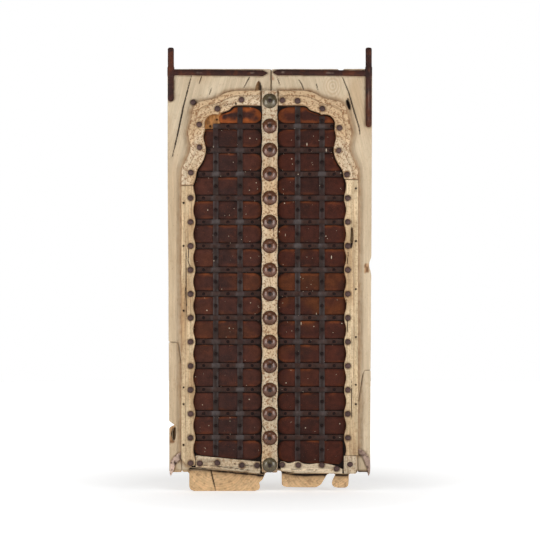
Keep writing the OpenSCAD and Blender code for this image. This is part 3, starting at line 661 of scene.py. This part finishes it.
def head_paint(co, facing, tint):
    """Warm blotches along the head of a leaf, and the rings of a knot."""
    head = smooth(HEAD_FROM, CROWN, co[:, Z]) * smooth(0, 0.6, rough(co, (9, 9, 5), 88))
    tint = mix(tint, BUFF, 0.4 * head * facing)
    knot = np.hypot(co[:, X] - KNOT[0], (co[:, Z] - KNOT[1]) * 0.8)
    rings = 0.5 + 0.5 * np.sin(0.7 * knot / MM + 2 * rough(co, 25, 95))
    return mix(tint, TAN, 0.4 * rings * facing * (1 - smooth(18 * MM, 45 * MM, knot)))


def tongue_paint(co, tongue, tint):
    """Fresher timber on the tongues, with growth rings and pits."""
    tint = mix(tint, FRESH * (1 + 0.2 * rough(co, 110, 91))[:, None], 0.9 * tongue)
    growth = np.hypot(abs(co[:, X]) - TONGUE_RINGS[0], co[:, Z] - TONGUE_RINGS[1])
    rings = smooth(0.4, 0.9, np.sin(0.8 * growth / MM + 3 * rough(co, 25, 96)))
    tint = mix(tint, OCHRE, 0.3 * rings * tongue)
    return mix(tint, PITTED, 0.4 * tongue * smooth(0.25, 0.55, rough(co, 130, 92)))


def edge_paint(leaf, co, facing, tint):
    """Brown grime and painted shade beside a leaf's mouldings, and brown stains round its pivots and frame
    nails.
    """
    front = facing > 0.2
    frame_away = nearest(co, front, [leaf + "_arch_moulding", leaf + "_stile_moulding"], 20 * MM)
    # Painted shade and grime: tan fading out from the mouldings, umber right against them
    ragged = frame_away + 4 * MM * rough(co, 60, 97)
    tint = mix(tint, TAN, 0.75 * facing * (1 - smooth(1 * MM, 16 * MM, ragged)))
    tint = mix(tint, UMBER, 0.5 * facing * (1 - smooth(0, 4 * MM, ragged)))
    irons = [leaf + "_top_pivot", leaf + "_foot_pivot", leaf + "_frame_nails"]
    ragged = nearest(co, front, irons, 8 * MM) + 2 * MM * rough(co, 90, 99)
    return mix(tint, UMBER, 0.55 * facing * (1 - smooth(0, 6 * MM, ragged)))


def damage_paint(leaf, co, facing, deep, tint):
    """A leaf's bare, eaten and gashed places, painted shade behind the stile's old nail holes and the rusty
    head of the seam.
    """
    x, z, sunk = co[:, X], co[:, Z], co[:, Y] - FACE
    bare = facing * within(x, z, BARE_PATCH) * (1 - deep)
    tint = mix(tint, OCHRE * (1 + 0.6 * rough(co, (150, 150, 60), 93))[:, None], bare)
    tint = mix(tint, UMBER, 0.6 * bare * smooth(0, 0.4, rough(co, 70, 94)))
    strip = facing * smooth(STILE_OUTER, STILE_OUTER + 20 * MM, abs(x)) * (1 - smooth(*STRIP_FADE, z))
    tint = mix(tint, BUFF, STRIP_WARMTH[leaf] * strip)
    # Painted shade: the boards black along the stile's old nail holes, seen through them
    tint = mix(tint, SHADE_BLACK, facing * on_hole_line(leaf, co, 5 * MM))
    eaten = within(x, z, EATEN_CORNER) * smooth(2 * MM, 5 * MM, sunk)
    eaten = eaten * (1 - smooth(EATEN_SIDE - 2 * MM, EATEN_SIDE + 2 * MM, x))
    tint = mix(tint, TAN, eaten)
    tint = mix(tint, UMBER, 0.8 * eaten * smooth(-0.1, 0.4, rough(co, 140, 89)))
    gash = facing * within(x, z, GASH[leaf], 8 * MM) * (1 - 0.85 * deep)
    tint = mix(tint, OCHRE, 0.7 * gash)
    tint = mix(tint, UMBER, 0.9 * gash * smooth(-0.2, 0.3, rough(co, (120, 120, 50), 90)))
    return mix(tint, RUST, 0.6 * facing * within(x, z, SEAM_RUST))


def leaf_paint(leaf):
    """All stains of a leaf's boards, with painted shade: black behind the iron, in deep recesses and under
    the bottom moulding.
    """
    heights, side_at = opening_side(leaf)
    across, foot_at = rail_foot(leaf)

    def paint(co, no, facing, tint):
        x, z, sunk = co[:, X], co[:, Z], co[:, Y] - FACE
        tongue = 1 - smooth(FOOT_CORNER, FOOT_CORNER + 12 * MM, z)
        tint = head_paint(co, facing, tint)
        tint = tongue_paint(co, tongue, tint)
        tint = edge_paint(leaf, co, facing, tint)
        # Painted shadow under the bottom moulding: brown fading down the tongue, black just below the
        # moulding's edge
        below = np.interp(x, across, foot_at) - z + 2 * MM * rough(co, 60, 98)
        tint = mix(tint, UMBER, 0.45 * facing * tongue * (1 - smooth(8 * MM, 24 * MM, below)))
        tint = mix(tint, SHADE_BLACK, facing * tongue * (1 - smooth(9.5 * MM, 13.5 * MM, below)))
        # Painted shade: black on the boards behind the iron sheets and in recesses deeper than a few
        # millimetres
        opening = np.interp(z, heights, side_at, left=PANEL_SIDE) + 12 * MM
        shade_behind_iron = facing * (abs(x) < opening) * (z > RAIL_TOP - 25 * MM) * (z < CROWN + 5 * MM)
        deep = smooth(3 * MM, 7 * MM, sunk) * facing * (1 - tongue)
        tint = mix(tint, SHADE_BLACK, np.maximum(shade_behind_iron, deep))
        return damage_paint(leaf, co, facing, deep, tint)
    return paint


def carved_paint(leaf, inner):
    """Colours of a moulding: painted shade, tan on the sides that face an inner direction and brown by its
    step, with brown stains by its nails.
    """
    def paint(co, no, facing, tint):
        nail_away = nearest(co, facing > 0.2, [leaf + "_frame_nails"], 6 * MM)
        ragged = nail_away + 1.5 * MM * rough(co, 120, 99)
        tint = mix(tint, UMBER, 0.6 * facing * (1 - smooth(0, 5 * MM, ragged)))
        # Painted shade: tan on the sides facing the inner direction
        inward = smooth(0.2, 0.8, no @ np.array(inner))
        tint = mix(tint, TAN, 0.8 * inward)
        # Painted shade: brown on the sides near the boards, by the step
        low = smooth(-13.5 * MM, -11.5 * MM, co[:, Y] - FACE)
        step = low * smooth(0.15, 0.6, abs(no[:, X]) + abs(no[:, Z])) * (1 - inward)
        return mix(tint, UMBER, 0.35 * step)
    return paint


def stile_paint(leaf):
    """Colours of a stile moulding, with painted shade, black, inside its old nail holes."""
    carved = carved_paint(leaf, (-SIGN[leaf], 0, 0))

    def paint(co, no, facing, tint):
        # Painted shade: black inside the old nail holes
        return mix(carved(co, no, facing, tint), SHADE_BLACK, on_hole_line(leaf, co, 4.2 * MM) * (1 - facing))
    return paint


def leaf_timber(leaf, seed):
    """The boards, mouldings and ledges of a leaf."""
    sign = SIGN[leaf]

    def shown(middles, facing):
        u, z = middles[:, X] * sign, middles[:, Z]
        open_face = (z > CROWN + 20 * MM) | (u > STILE_OUTER - 6 * MM) | (z < RAIL_TOP)
        arch_side = (z > CROWN - 0.26) & (u > PANEL_SIDE - 85 * MM)
        return (facing[:, Y] < -0.3) & (open_face | arch_side)

    plank = refined(remeshed(leaf + "_plank", PLANK_VOXEL), shown)
    finish_timber(leaf + "_plank", plank, PLAIN_TIMBER, plank_grain(leaf), seed,
                  (0.7, 0.25, 0.2), BLEACHED, ASHEN, 0.05, leaf_paint(leaf))
    board = remeshed(leaf + "_corner_board", BOARD_VOXEL)
    finish_timber(leaf + "_corner_board", board, PLAIN_TIMBER, upright_grain, seed + 100,
                  (0.5, 0.3, 0.4), ASHEN, BLEACHED, 0.08, leaf_paint(leaf))
    arch = remeshed(leaf + "_arch_moulding", CARVED_VOXEL, 3)
    finish_timber(leaf + "_arch_moulding", arch, CARVED_TIMBER, arch_grain, seed + 200,
                  (0.6, 0.3, 1.1), CREAM, HONEY, 0.1, carved_paint(leaf, (-sign, 0, -1)))
    stile = remeshed(leaf + "_stile_moulding", CARVED_VOXEL, 3)
    finish_timber(leaf + "_stile_moulding", stile, STRAIGHT_TIMBER, upright_grain, seed + 300,
                  (0.5, 0.45, 0.35), STRAW, BUFF, 0.22, stile_paint(leaf))
    rail = remeshed(leaf + "_bottom_moulding", CARVED_VOXEL, 2)
    material, pale, warm = RAIL_LOOKS[leaf]
    finish_timber(leaf + "_bottom_moulding", rail, material, level_grain, seed + 400,
                  (0.7, 0.6, 1.1), pale, warm, 0.2, carved_paint(leaf, (0, 0, 0)))
    ledges = remeshed(leaf + "_back_ledges", LEDGE_VOXEL)
    finish_timber(leaf + "_back_ledges", ledges, PLAIN_TIMBER, level_grain, seed + 500,
                  (0.6, 0.5, 0.6), TAN, HONEY, 0.16)


for number, leaf in enumerate(LEAVES):
    leaf_timber(leaf, 1000 * (number + 1))
block = remeshed("right_corner_block", CARVED_VOXEL, 2)
finish_timber("right_corner_block", block, RAIL_TIMBER, upright_grain, 51,
              (0.5, 0.4, 0.6), BLEACHED, CREAM, 0.14)
batten = remeshed("centre_batten", CARVED_VOXEL, 3)
finish_timber("centre_batten", batten, CARVED_TIMBER, upright_grain, 61,
              (0.6, 0.3, 0.9), BLEACHED, HONEY, 0.12)


# Iron

# Ends of the names of the highest and the lowest plates
TOP_PLATE = "_01"
FOOT_PLATE = "_15"
# The plate with the rustiest rim
GLOWING_PLATE = "left_plate_01"
# How much of each colour a leaf's sheets keep: the right ones are redder
SHEET_SHADE = {"left": np.array((0.95, 0.86, 0.83)), "right": np.array((0.92, 0.67, 0.57))}
# Height round which the sheets have an amber glaze, how far it reaches, and its strength
GLAZED_HEIGHT = 0.62
GLAZED_REACH = 0.17
GLAZE = {"left": 0.25, "right": 0.45}
# Places across, near the uprights, between which the sheets are darker
UPRIGHTS = (97.5 * MM, 172.5 * MM)
# How much of each foot pivot is worn bare
BARE_FOOT = {"left": 0.95, "right": 0.55}


def leaf_of(node):
    return node.split("_")[0]


def plate_paint(node, seed, p, depth, crest):
    """Clouds of two browns on a sheet, with an amber glaze, rust along its rim and painted shade, black, at
    its very edge.
    """
    leaf = leaf_of(node)
    u, fade = abs(p[:, X]), 7.5 * MM
    between = smooth(UPRIGHTS[0] - fade, UPRIGHTS[0] + fade, u)
    between = between * (1 - smooth(UPRIGHTS[1] - fade, UPRIGHTS[1] + fade, u))
    cloud = smooth(-0.5, 0.6, rough(p, (20, 1, 30), seed + 7))
    tint = mix(MAROON, LIVER, 0.5 * cloud + 0.5 * between) * SHEET_SHADE[leaf]
    tint = tint * np.random.default_rng(seed).uniform(0.84, 1.04)
    glaze = smooth(-0.1, 0.5, rough(p, (10, 1, 14), seed + 19))
    glaze = glaze * np.exp(-((p[:, Z] - GLAZED_HEIGHT) / GLAZED_REACH) ** 2)
    tint = mix(tint, AMBER, GLAZE[leaf] * glaze)
    if node.endswith(TOP_PLATE):
        ragged = depth + 9 * MM * rough(p, (40, 1, 40), seed + 13)
        rust = (1 - smooth(5 * MM, 19 * MM, ragged)) * (0.9 if node == GLOWING_PLATE else 0.45)
    else:
        rim_share = 1 - smooth(2 * MM, 14 * MM, depth)
        top_edge = smooth(crest - 12 * MM, crest + 8 * MM, p[:, Z])
        rust = smooth(-0.1, 0.6, rough(p, (24, 1, 60), seed + 13)) * rim_share * (0.15 + 0.5 * top_edge)
    tint = mix(tint, RUST, rust)
    # Painted shade: black where the sheet runs in under the straps and at its edge
    return mix(tint, SHADE_BLACK, 1 - smooth(-1.5 * MM, 1.5 * MM, depth))


def forge_plate(node, seed):
    """A pillowed sheet: flat under the straps, rolled down at its rim, dented and rusty."""
    rows, columns, sheet = 26, 58, 1.6 * MM
    rim, roll, inner_corner, outer_corner, least = 10.3 * MM, 7 * MM, 20 * MM, 4 * MM, 0.5 * MM
    low_rim = 2 * MM if node.endswith(FOOT_PLATE) else rim
    high_rim = 1 * MM if node.endswith(TOP_PLATE) else rim
    flange = 2.5 * MM
    reach_in, reach_out = 3 * MM, 0 if node == GLOWING_PLATE else 2.5 * MM
    solid = solids(node)[0]
    low, high = solid[0].min(0), solid[0].max(0)
    bottom, top = low[Z] + max(low_rim - flange, 0.2 * MM), high[Z] - max(high_rim - flange, 0.2 * MM)
    heights = bottom + (top - bottom) * (0.5 - 0.5 * np.cos(np.linspace(0, math.pi, rows)))
    cuts = [section(solid, Z, z) for z in heights]
    share = 0.5 - 0.5 * np.cos(np.linspace(0, math.pi, columns))
    ends = [(abs(c[:, X]).min() - reach_in, abs(c[:, X]).max() + reach_out) for c in cuts]
    u = np.array([inner + (outer - inner) * share for inner, outer in ends])
    front = np.array([[c[:, Y].min()] * columns for c in cuts])
    z = np.repeat(heights[:, None], columns, axis=1)
    up = np.minimum(z - low[Z] - low_rim, high[Z] - z - high_rim)

    def inside(across, corner):
        round_corner = np.hypot(np.maximum(corner - across, 0), np.maximum(corner - up, 0))
        return corner - round_corner + np.maximum(np.minimum(across, up) - corner, 0)

    depth = np.minimum(inside(u - u.min(1)[:, None], inner_corner),
                       inside(u.max(1)[:, None] - u, outer_corner)).ravel()
    swell = np.sqrt(1 - (1 - np.clip(depth / roll, 0, 1)) ** 2)
    p = np.stack([SIGN[leaf_of(node)] * u.ravel(), front.ravel(), z.ravel()], axis=1)
    dent = 1.1 * MM * np.clip(rough(p, (26, 1, 26), seed), 0, 1)
    dent += 0.3 * MM * np.clip(rough(p, (90, 1, 90), seed + 3), 0, 1)
    p[:, Y] = FACE - (least + (FACE - p[:, Y] - least) * swell - dent * swell)
    back = p.copy()
    back[:, Y] = np.minimum(p[:, Y] + sheet, FACE - 0.1 * MM)
    count = rows * columns
    faces = grid_faces(rows, columns)
    faces += [[count + i for i in reversed(f)] for f in grid_faces(rows, columns)]
    loop = rim_of(rows, columns)
    faces += [[b, a, count + a, count + b] for a, b in zip(loop, loop[1:] + loop[:1])]
    both = np.vstack([p, back])
    tint = plate_paint(node, seed, p, depth, high[Z] - high_rim)
    piece(node + "_forged", node, mesh_of([(both, faces)]), np.vstack([tint, tint]), both, PLATE_IRON)


def strap_shell(route, width, thick, across, seed):
    """A forged strap along a route on its front: its points, its faces and each point's side, -1 to 1."""
    route = np.array(route)
    left, right = (0.45 * MM * rough(route, 30, seed + k) for k in (0, 5))
    ring = [(-1, 1), (-1, 0.45), (-0.93, 0.1), (-0.8, 0), (0, -0.06),
            (0.8, 0), (0.93, 0.1), (1, 0.45), (1, 1)]
    rows = []
    for s, back in ring:
        row = route.copy()
        edge = left if s < 0 else right
        row[:, across] += s * width / 2 + edge * abs(s)
        row[:, Y] += back * thick + 0.15 * MM * rough(row, 60, seed + 9)
        rows.append(row)
    p = np.concatenate(rows)
    n, m = len(ring), len(route)
    faces = grid_faces(n, m)
    faces += [[(n - 1) * m + i, (n - 1) * m + i + 1, i + 1, i] for i in range(m - 1)]
    faces += [[r * m for r in range(n)], [r * m + m - 1 for r in range(n)][::-1]]
    return p, faces, np.repeat([s if back < 0.7 else 0 for s, back in ring], m)


def forge_straps(node, along, seed):
    """All straps of a node, forged along their CAD solids, with painted sheen and shade on their edges and
    crossings.
    """
    across = X if along == Z else Z
    thick, ease, pitch = 2.4 * MM, 0.2 * MM, 4 * MM
    shells = []
    for k, solid in enumerate(solids(node)):
        low, high = solid[0].min(0), solid[0].max(0)
        count = max(12, int((high - low)[along] / pitch))
        stations = np.linspace(low[along] + ease, high[along] - ease, count)
        middle = (low + high)[across] / 2
        route = []
        for s in stations:
            cut = section(solid, along, s)
            spot = np.zeros(3)
            spot[along], spot[across], spot[Y] = s, middle, cut[:, Y].min()
            route.append(spot)
        shells.append(strap_shell(route, (high - low)[across], thick, across, seed + 17 * k))
    mesh = mesh_of([shell[:2] for shell in shells])
    co = points(mesh)
    side = np.concatenate([shell[2] for shell in shells])
    edge = smooth(0.6, 0.95, abs(side))
    patch = smooth(-0.4, 0.5, rough(co, 22, seed + 3))
    ragged = smooth(-0.3, 0.4, rough(co, 30, seed + 2))
    if along == Z:
        tint = mix(UPRIGHT, LIVER, smooth(0, 0.6, rough(co, 14, seed + 1)))
        # Painted highlight and wear: grey along the uprights' edges
        tint = mix(tint, STRAP_WEAR_AND_SHEEN, 0.65 * edge * ragged)
    else:
        front = co[:, Y].min()
        raised = 1 - smooth(front + 0.5 * MM, front + 2 * MM, co[:, Y])
        tint = mix(CROSS, LIVER, smooth(0, 0.6, rough(co, 14, seed + 1)))
        # Painted sheen on the raised crossings, and a thin grey highlight and wear on the upper edge
        tint = mix(tint, STRAP_WEAR_AND_SHEEN, 0.75 * patch * raised + 0.2 * edge * ragged * (side > 0))
        # Painted shadow: black along the lower edge
        tint = mix(tint, SHADE_BLACK, 0.8 * edge * (side < 0))
    nails = leaf_of(node) + "_strap_nails"
    ring = 1 - smooth(0, 4 * MM, nearest(co, np.ones(len(co), bool), [nails], 5 * MM))
    tint = mix(tint, SHADE_BLACK if along == Z else MAROON, 0.6 * ring)
    piece(node + "_forged", node, mesh, tint, co, STRAP_IRON)


def back_faces(leaf):
    """The back of a leaf as boxes, the plank's first and then those of its ledges."""
    boards = solids(leaf + "_plank") + solids(leaf + "_back_ledges")
    return [(p.min(0), p.max(0)) for p, _ in boards]


def clench(spot, lean):
    """The tip of a nail driven through and bent over, from a spot on the back."""
    length, thick, segments = 15 * MM, 2.2 * MM, 6
    # How far along the tip, how far out and how wide
    stations = [(-0.12, -0.5, 1), (-0.05, 0.5, 1), (0.1, 0.75, 1),
                (0.45, 0.5, 0.9), (0.8, 0.2, 0.6), (1, -0.1, 0.2)]
    angles = np.arange(segments) / segments * 2 * math.pi
    flat = np.stack([1.4 * np.cos(angles), np.sin(angles), 0.4 * np.sin(angles)], axis=1)
    rows = []
    for along, out, wide in stations:
        middle = spot + np.array([lean * along * length, out * thick, -along * length])
        rows.append(middle + 0.5 * thick * wide * flat)
    return np.concatenate(rows), tube_faces(len(stations), segments)


def forge_nails(node, seed, segments, dark, light, material, back=()):
    """Hand-forged nails: uneven faceted heads on round shanks, painted lighter towards the top as a
    highlight, clenched where a leaf's back is given.
    """
    rng = np.random.default_rng(seed)
    profile = [(1, 0), (1.03, 0.22), (0.9, 0.62), (0.62, 0.92), (0.3, 1.02)]
    parts, tints = [], []
    for p, _ in solids(node):
        low, high = p.min(0), p.max(0)
        middle = (low + high) / 2
        radius = (high - low)[X] / 2
        spread = np.hypot(p[:, X] - middle[X], p[:, Z] - middle[Z])
        seat = p[spread > 0.95 * radius][:, Y].max()
        tall = seat - low[Y]
        shank = np.median(spread[p[:, Y] > high[Y] - 0.5 * MM])
        turn, oval, lean = rng.uniform(0, 2 * math.pi), rng.uniform(0.9, 1.02), rng.uniform(-0.12, 0.12, 2)
        lumps = 1 - 0.1 * rng.random(segments)
        rows = [circle(shank, y, segments) for y in (high[Y], seat)]
        for share, up in profile:
            r = radius * share * (lumps if share > 0.5 else 0.95)
            rows.append(circle(r, seat - 0.97 * tall * up, segments, oval))
        ring = np.concatenate(rows)
        head = ring[:, Y] < seat - 0.05 * MM
        ring[head, Y] += tall * 0.5 * (ring[head, X] * lean[0] + ring[head, Z] * lean[1]) / radius
        c, s = math.cos(turn), math.sin(turn)
        ring[:, [X, Z]] = ring[:, [X, Z]] @ np.array([[c, s], [-s, c]])
        ring[:, Y] = np.maximum(ring[:, Y], low[Y])
        ring[:, X] += middle[X]
        ring[:, Z] += middle[Z]
        parts.append((ring, tube_faces(len(rows), segments)))
        # Painted light: each head runs from the dark colour at the shank to the light colour on its top
        lit = np.repeat([0, 0, 0, 0.2, 0.6, 0.9, 1], segments) * rng.uniform(0.5, 1)
        tints.append(mix(dark, light, lit))
        reached = [b[Y] for a, b in back if (a < middle)[[X, Z]].all() and (middle < b)[[X, Z]].all()]
        if reached:
            tip = clench(np.array([middle[X], max(reached), middle[Z]]), rng.uniform(-0.4, 0.4))
            parts.append(tip)
            tints.append(np.repeat(dark[None], len(tip[0]), axis=0))
    mesh = mesh_of(parts)
    piece(node + "_forged", node, mesh, np.vstack(tints), points(mesh), material)


def forge_bosses(node, seed):
    """Raised sheet bosses: domes with a rolled rim, a sunk ring round the nail and small dents."""
    segments, sheet, rim, foot = 48, 1.8 * MM, 1.6 * MM, 0.02 * MM
    rng = np.random.default_rng(seed)
    parts, tints = [], []
    found = sorted(solids(node), key=lambda s: s[0][:, Z].mean())
    for k, (p, _) in enumerate(found):
        low, high = p.min(0), p.max(0)
        middle = (low + high) / 2
        radius, tall = (high - low)[X] / 2, high[Y] - low[Y]
        ball = (radius**2 + tall**2) / (2 * tall)
        radii = radius * np.array([0.16, 0.24, 0.3, 0.36, 0.44, 0.54, 0.64, 0.74, 0.83, 0.9, 0.95, 0.985, 1])
        rise = np.sqrt(ball**2 - radii**2) - (ball - tall)
        rise -= 0.4 * MM * np.exp(-((radii / radius - 0.28) / 0.06) ** 2)
        rise[-2] += 0.4 * rim
        rise[-1] = 0.6 * rim
        dome = list(zip(radii, rise))
        outline = dome + [(radius, foot)]
        outline += [(r, max(h - sheet, foot)) for r, h in reversed(dome) if r < 0.97 * radius]
        ring = np.concatenate([circle(r, -h, segments) for r, h in outline])
        dent = rough(ring, 60, seed + 5 * k)
        lift = smooth(1 * MM, 5 * MM, -ring[:, Y])
        ring[:, Y] += 0.55 * MM * np.clip(dent, -0.2, 1) * lift
        ring += np.array([middle[X], high[Y], middle[Z]])
        last = len(ring) - segments
        faces = grid_faces(len(outline), segments, closed=True)
        faces += [[last + i, last + (i + 1) % segments, (i + 1) % segments, i] for i in range(segments)]
        parts.append((ring, faces))
        colour = BOSS_OLIVE if k in (0, len(found) - 1) else BOSS * rng.uniform(0.85, 1.1)
        # Darker at the nail and at the rim: partly grime, partly painted shade
        grime_and_shade = [0.15 * (r < 0.31 * radius) + 0.5 * (r > 0.92 * radius) for r, _ in outline]
        mottled = colour * (1 + 0.2 * rough(ring, 50, seed))[:, None]
        tints.append(mix(mottled, SHADE_BLACK, np.repeat(grime_and_shade, segments)))
    mesh = mesh_of(parts)
    piece(node + "_raised", node, mesh, np.vstack(tints), points(mesh), BOSS_METAL)


def forge_pivot(node, seed):
    """Forged pivots, with scale and dents, their front-most ridges paler as wear and painted highlight."""
    mesh = remeshed(node, FORGED_VOXEL, 2)
    co, no = points(mesh), normals(mesh)
    moved = co + no * (0.3 * MM * rough(co, 55, seed) - 0.05 * MM)[:, None]
    mesh.vertices.foreach_set("co", moved.ravel())
    tint = mix(PIVOT, PIVOT_DARK, smooth(-0.5, 0.5, rough(co, 30, seed + 1)))
    tint = mix(tint, RUST, 0.16 * smooth(0.1, 0.6, rough(co, 45, seed + 2)))
    # Painted highlight and wear: paler on the front-most faces
    ridge = smooth(0.95, 0.995, -no[:, Y]) * smooth(0.1, 0.6, rough(co, (35, 35, 12), seed + 4))
    tint = mix(tint, PIVOT_PALE, 0.3 * ridge)
    if "foot" in node:
        bare = BARE_FOOT[leaf_of(node)] * smooth(-0.9, -0.25, rough(co, 75, seed + 6))
        tint = mix(tint, PIVOT_PALE, bare)
        tint = mix(tint, PIVOT, 0.7 * smooth(0.15, 0.5, rough(co, 110, seed + 8)))
    piece(node + "_forged", node, mesh, tint, co, PIVOT_IRON)


for number, leaf in enumerate(LEAVES):
    for k, name in enumerate(sorted(n for n in NODES if n.startswith(leaf + "_plate_"))):
        forge_plate(name, 3000 + 200 * number + 10 * k)
    forge_straps(leaf + "_upright_straps", Z, 3600 + number)
    forge_straps(leaf + "_cross_straps", X, 3700 + number)
    back = back_faces(leaf)
    forge_nails(leaf + "_strap_nails", 41 + number, 10, 0.5 * SHADE_BLACK, STRAP_NAIL_LIT, STRAP_NAIL_IRON, back)
    forge_nails(leaf + "_frame_nails", 43 + number, 14, NAIL_DARK, NAIL_LIT, NAIL_IRON, back)
    forge_pivot(leaf + "_top_pivot", 3800 + number)
    forge_pivot(leaf + "_foot_pivot", 3900 + number)
forge_bosses("batten_bosses", 47)
forge_nails("boss_nails", 49, 12, SHADE_BLACK, NAIL_DARK, NAIL_IRON)


# Stage, light and camera

def stage_material():
    """A pale floor that is white in the picture and still takes the object's shadow."""
    material, tree = new_material("stage_floor")
    path = add(tree, "ShaderNodeLightPath").outputs
    seen = maths(tree, "MAXIMUM", path["Is Camera Ray"], path["Is Glossy Ray"])
    seen = maths(tree, "MAXIMUM", seen, path["Is Transmission Ray"])
    place = add(tree, "ShaderNodeTexCoord").outputs["Object"]
    away = add(tree, "ShaderNodeVectorMath", {0: place}, operation="LENGTH").outputs["Value"]
    glow = add(tree, "ShaderNodeMapRange",
               {"Value": away, "From Min": 0.5, "From Max": 1.6, "To Min": 0.4, "To Max": 1.0}).outputs[0]
    lit = add(tree, "ShaderNodeBsdfDiffuse", {"Color": (0.8, 0.8, 0.8, 1)})
    strength = maths(tree, "MULTIPLY", glow, seen)
    white = add(tree, "ShaderNodeEmission", {"Color": (1, 1, 1, 1), "Strength": strength})
    both = add(tree, "ShaderNodeAddShader", {0: lit.outputs[0], 1: white.outputs[0]})
    add(tree, "ShaderNodeOutputMaterial", {"Surface": both.outputs[0]}).is_active_output = True
    return material


def make_stage():
    bm = bmesh.new()
    bmesh.ops.create_circle(bm, cap_ends=True, segments=96, radius=6)
    mesh = bpy.data.meshes.new("floor")
    bm.to_mesh(mesh)
    bm.free()
    mesh.materials.append(stage_material())
    floor = bpy.data.objects.new("floor", mesh)
    floor.location.z = CAD_BOX[0].z - 0.5 * MM
    bpy.context.scene.collection.objects.link(floor)


def make_world(in_front, at_back):
    """White behind the object for the camera and for reflections, and a dimmer room in front of it."""
    world = bpy.data.worlds.new("studio")
    bpy.context.scene.world = world
    world.use_nodes = True
    tree = world.node_tree
    tree.nodes.clear()
    path = add(tree, "ShaderNodeLightPath").outputs
    way = add(tree, "ShaderNodeTexCoord").outputs["Generated"]
    depth = add(tree, "ShaderNodeSeparateXYZ", {0: way}).outputs["Y"]
    behind = maths(tree, "GREATER_THAN", depth, 0.25)
    mirrored = maths(tree, "MAXIMUM", path["Is Glossy Ray"], path["Is Transmission Ray"])
    mirrored = maths(tree, "MULTIPLY", mirrored, behind)
    seen = maths(tree, "MAXIMUM", mirrored, path["Is Camera Ray"])
    room = add(tree, "ShaderNodeMapRange", {"Value": behind, "To Min": in_front, "To Max": at_back})
    lit = {"Value": seen, "To Min": room.outputs[0], "To Max": 1.0}
    strength = add(tree, "ShaderNodeMapRange", lit).outputs[0]
    sky = add(tree, "ShaderNodeBackground", {"Color": (1, 1, 1, 1), "Strength": strength})
    add(tree, "ShaderNodeOutputWorld", {"Surface": sky.outputs[0]}).is_active_output = True


# Where the lamps point, and each lamp's place, width, height and watts
LIT_SPOT = Vector((0, 0, 0.64))
LAMPS = {
    "softbox_left": ((-1.7, -1.2, 0.5), 1.1, 2.2, 37),
    "softbox_right": ((1.7, -1.2, 0.5), 1.1, 2.2, 37),
    "softbox_top": ((0, -1.6, 2.6), 1.6, 0.8, 10),
}


def softbox(name, place, width, height, watts):
    lamp = bpy.data.lights.new(name, "AREA")
    lamp.shape, lamp.size, lamp.size_y, lamp.energy = "RECTANGLE", width, height, watts
    made = bpy.data.objects.new(name, lamp)
    made.location = place
    made.rotation_mode = "QUATERNION"
    made.rotation_quaternion = (LIT_SPOT - Vector(place)).to_track_quat("-Z", "Y")
    bpy.context.scene.collection.objects.link(made)


def make_camera():
    """Straight on, from far away: the picture is as wide as the photograph's frame at the leaves' face."""
    distance, wide, aim_x, aim_z = 6.0, 1.755, 0.8 * MM, 0.72
    lens = bpy.data.cameras.new("camera")
    lens.sensor_width = 36
    lens.lens = lens.sensor_width * (distance + FACE) / wide
    camera = bpy.data.objects.new("camera", lens)
    camera.location = (aim_x, -distance, aim_z)
    camera.rotation_euler = (math.pi / 2, 0, 0)
    bpy.context.scene.collection.objects.link(camera)
    bpy.context.scene.camera = camera


make_stage()
make_world(in_front=0.18, at_back=0.65)
for name, lamp in LAMPS.items():
    softbox(name, *lamp)
make_camera()
bpy.context.scene.view_settings.view_transform = "Standard"
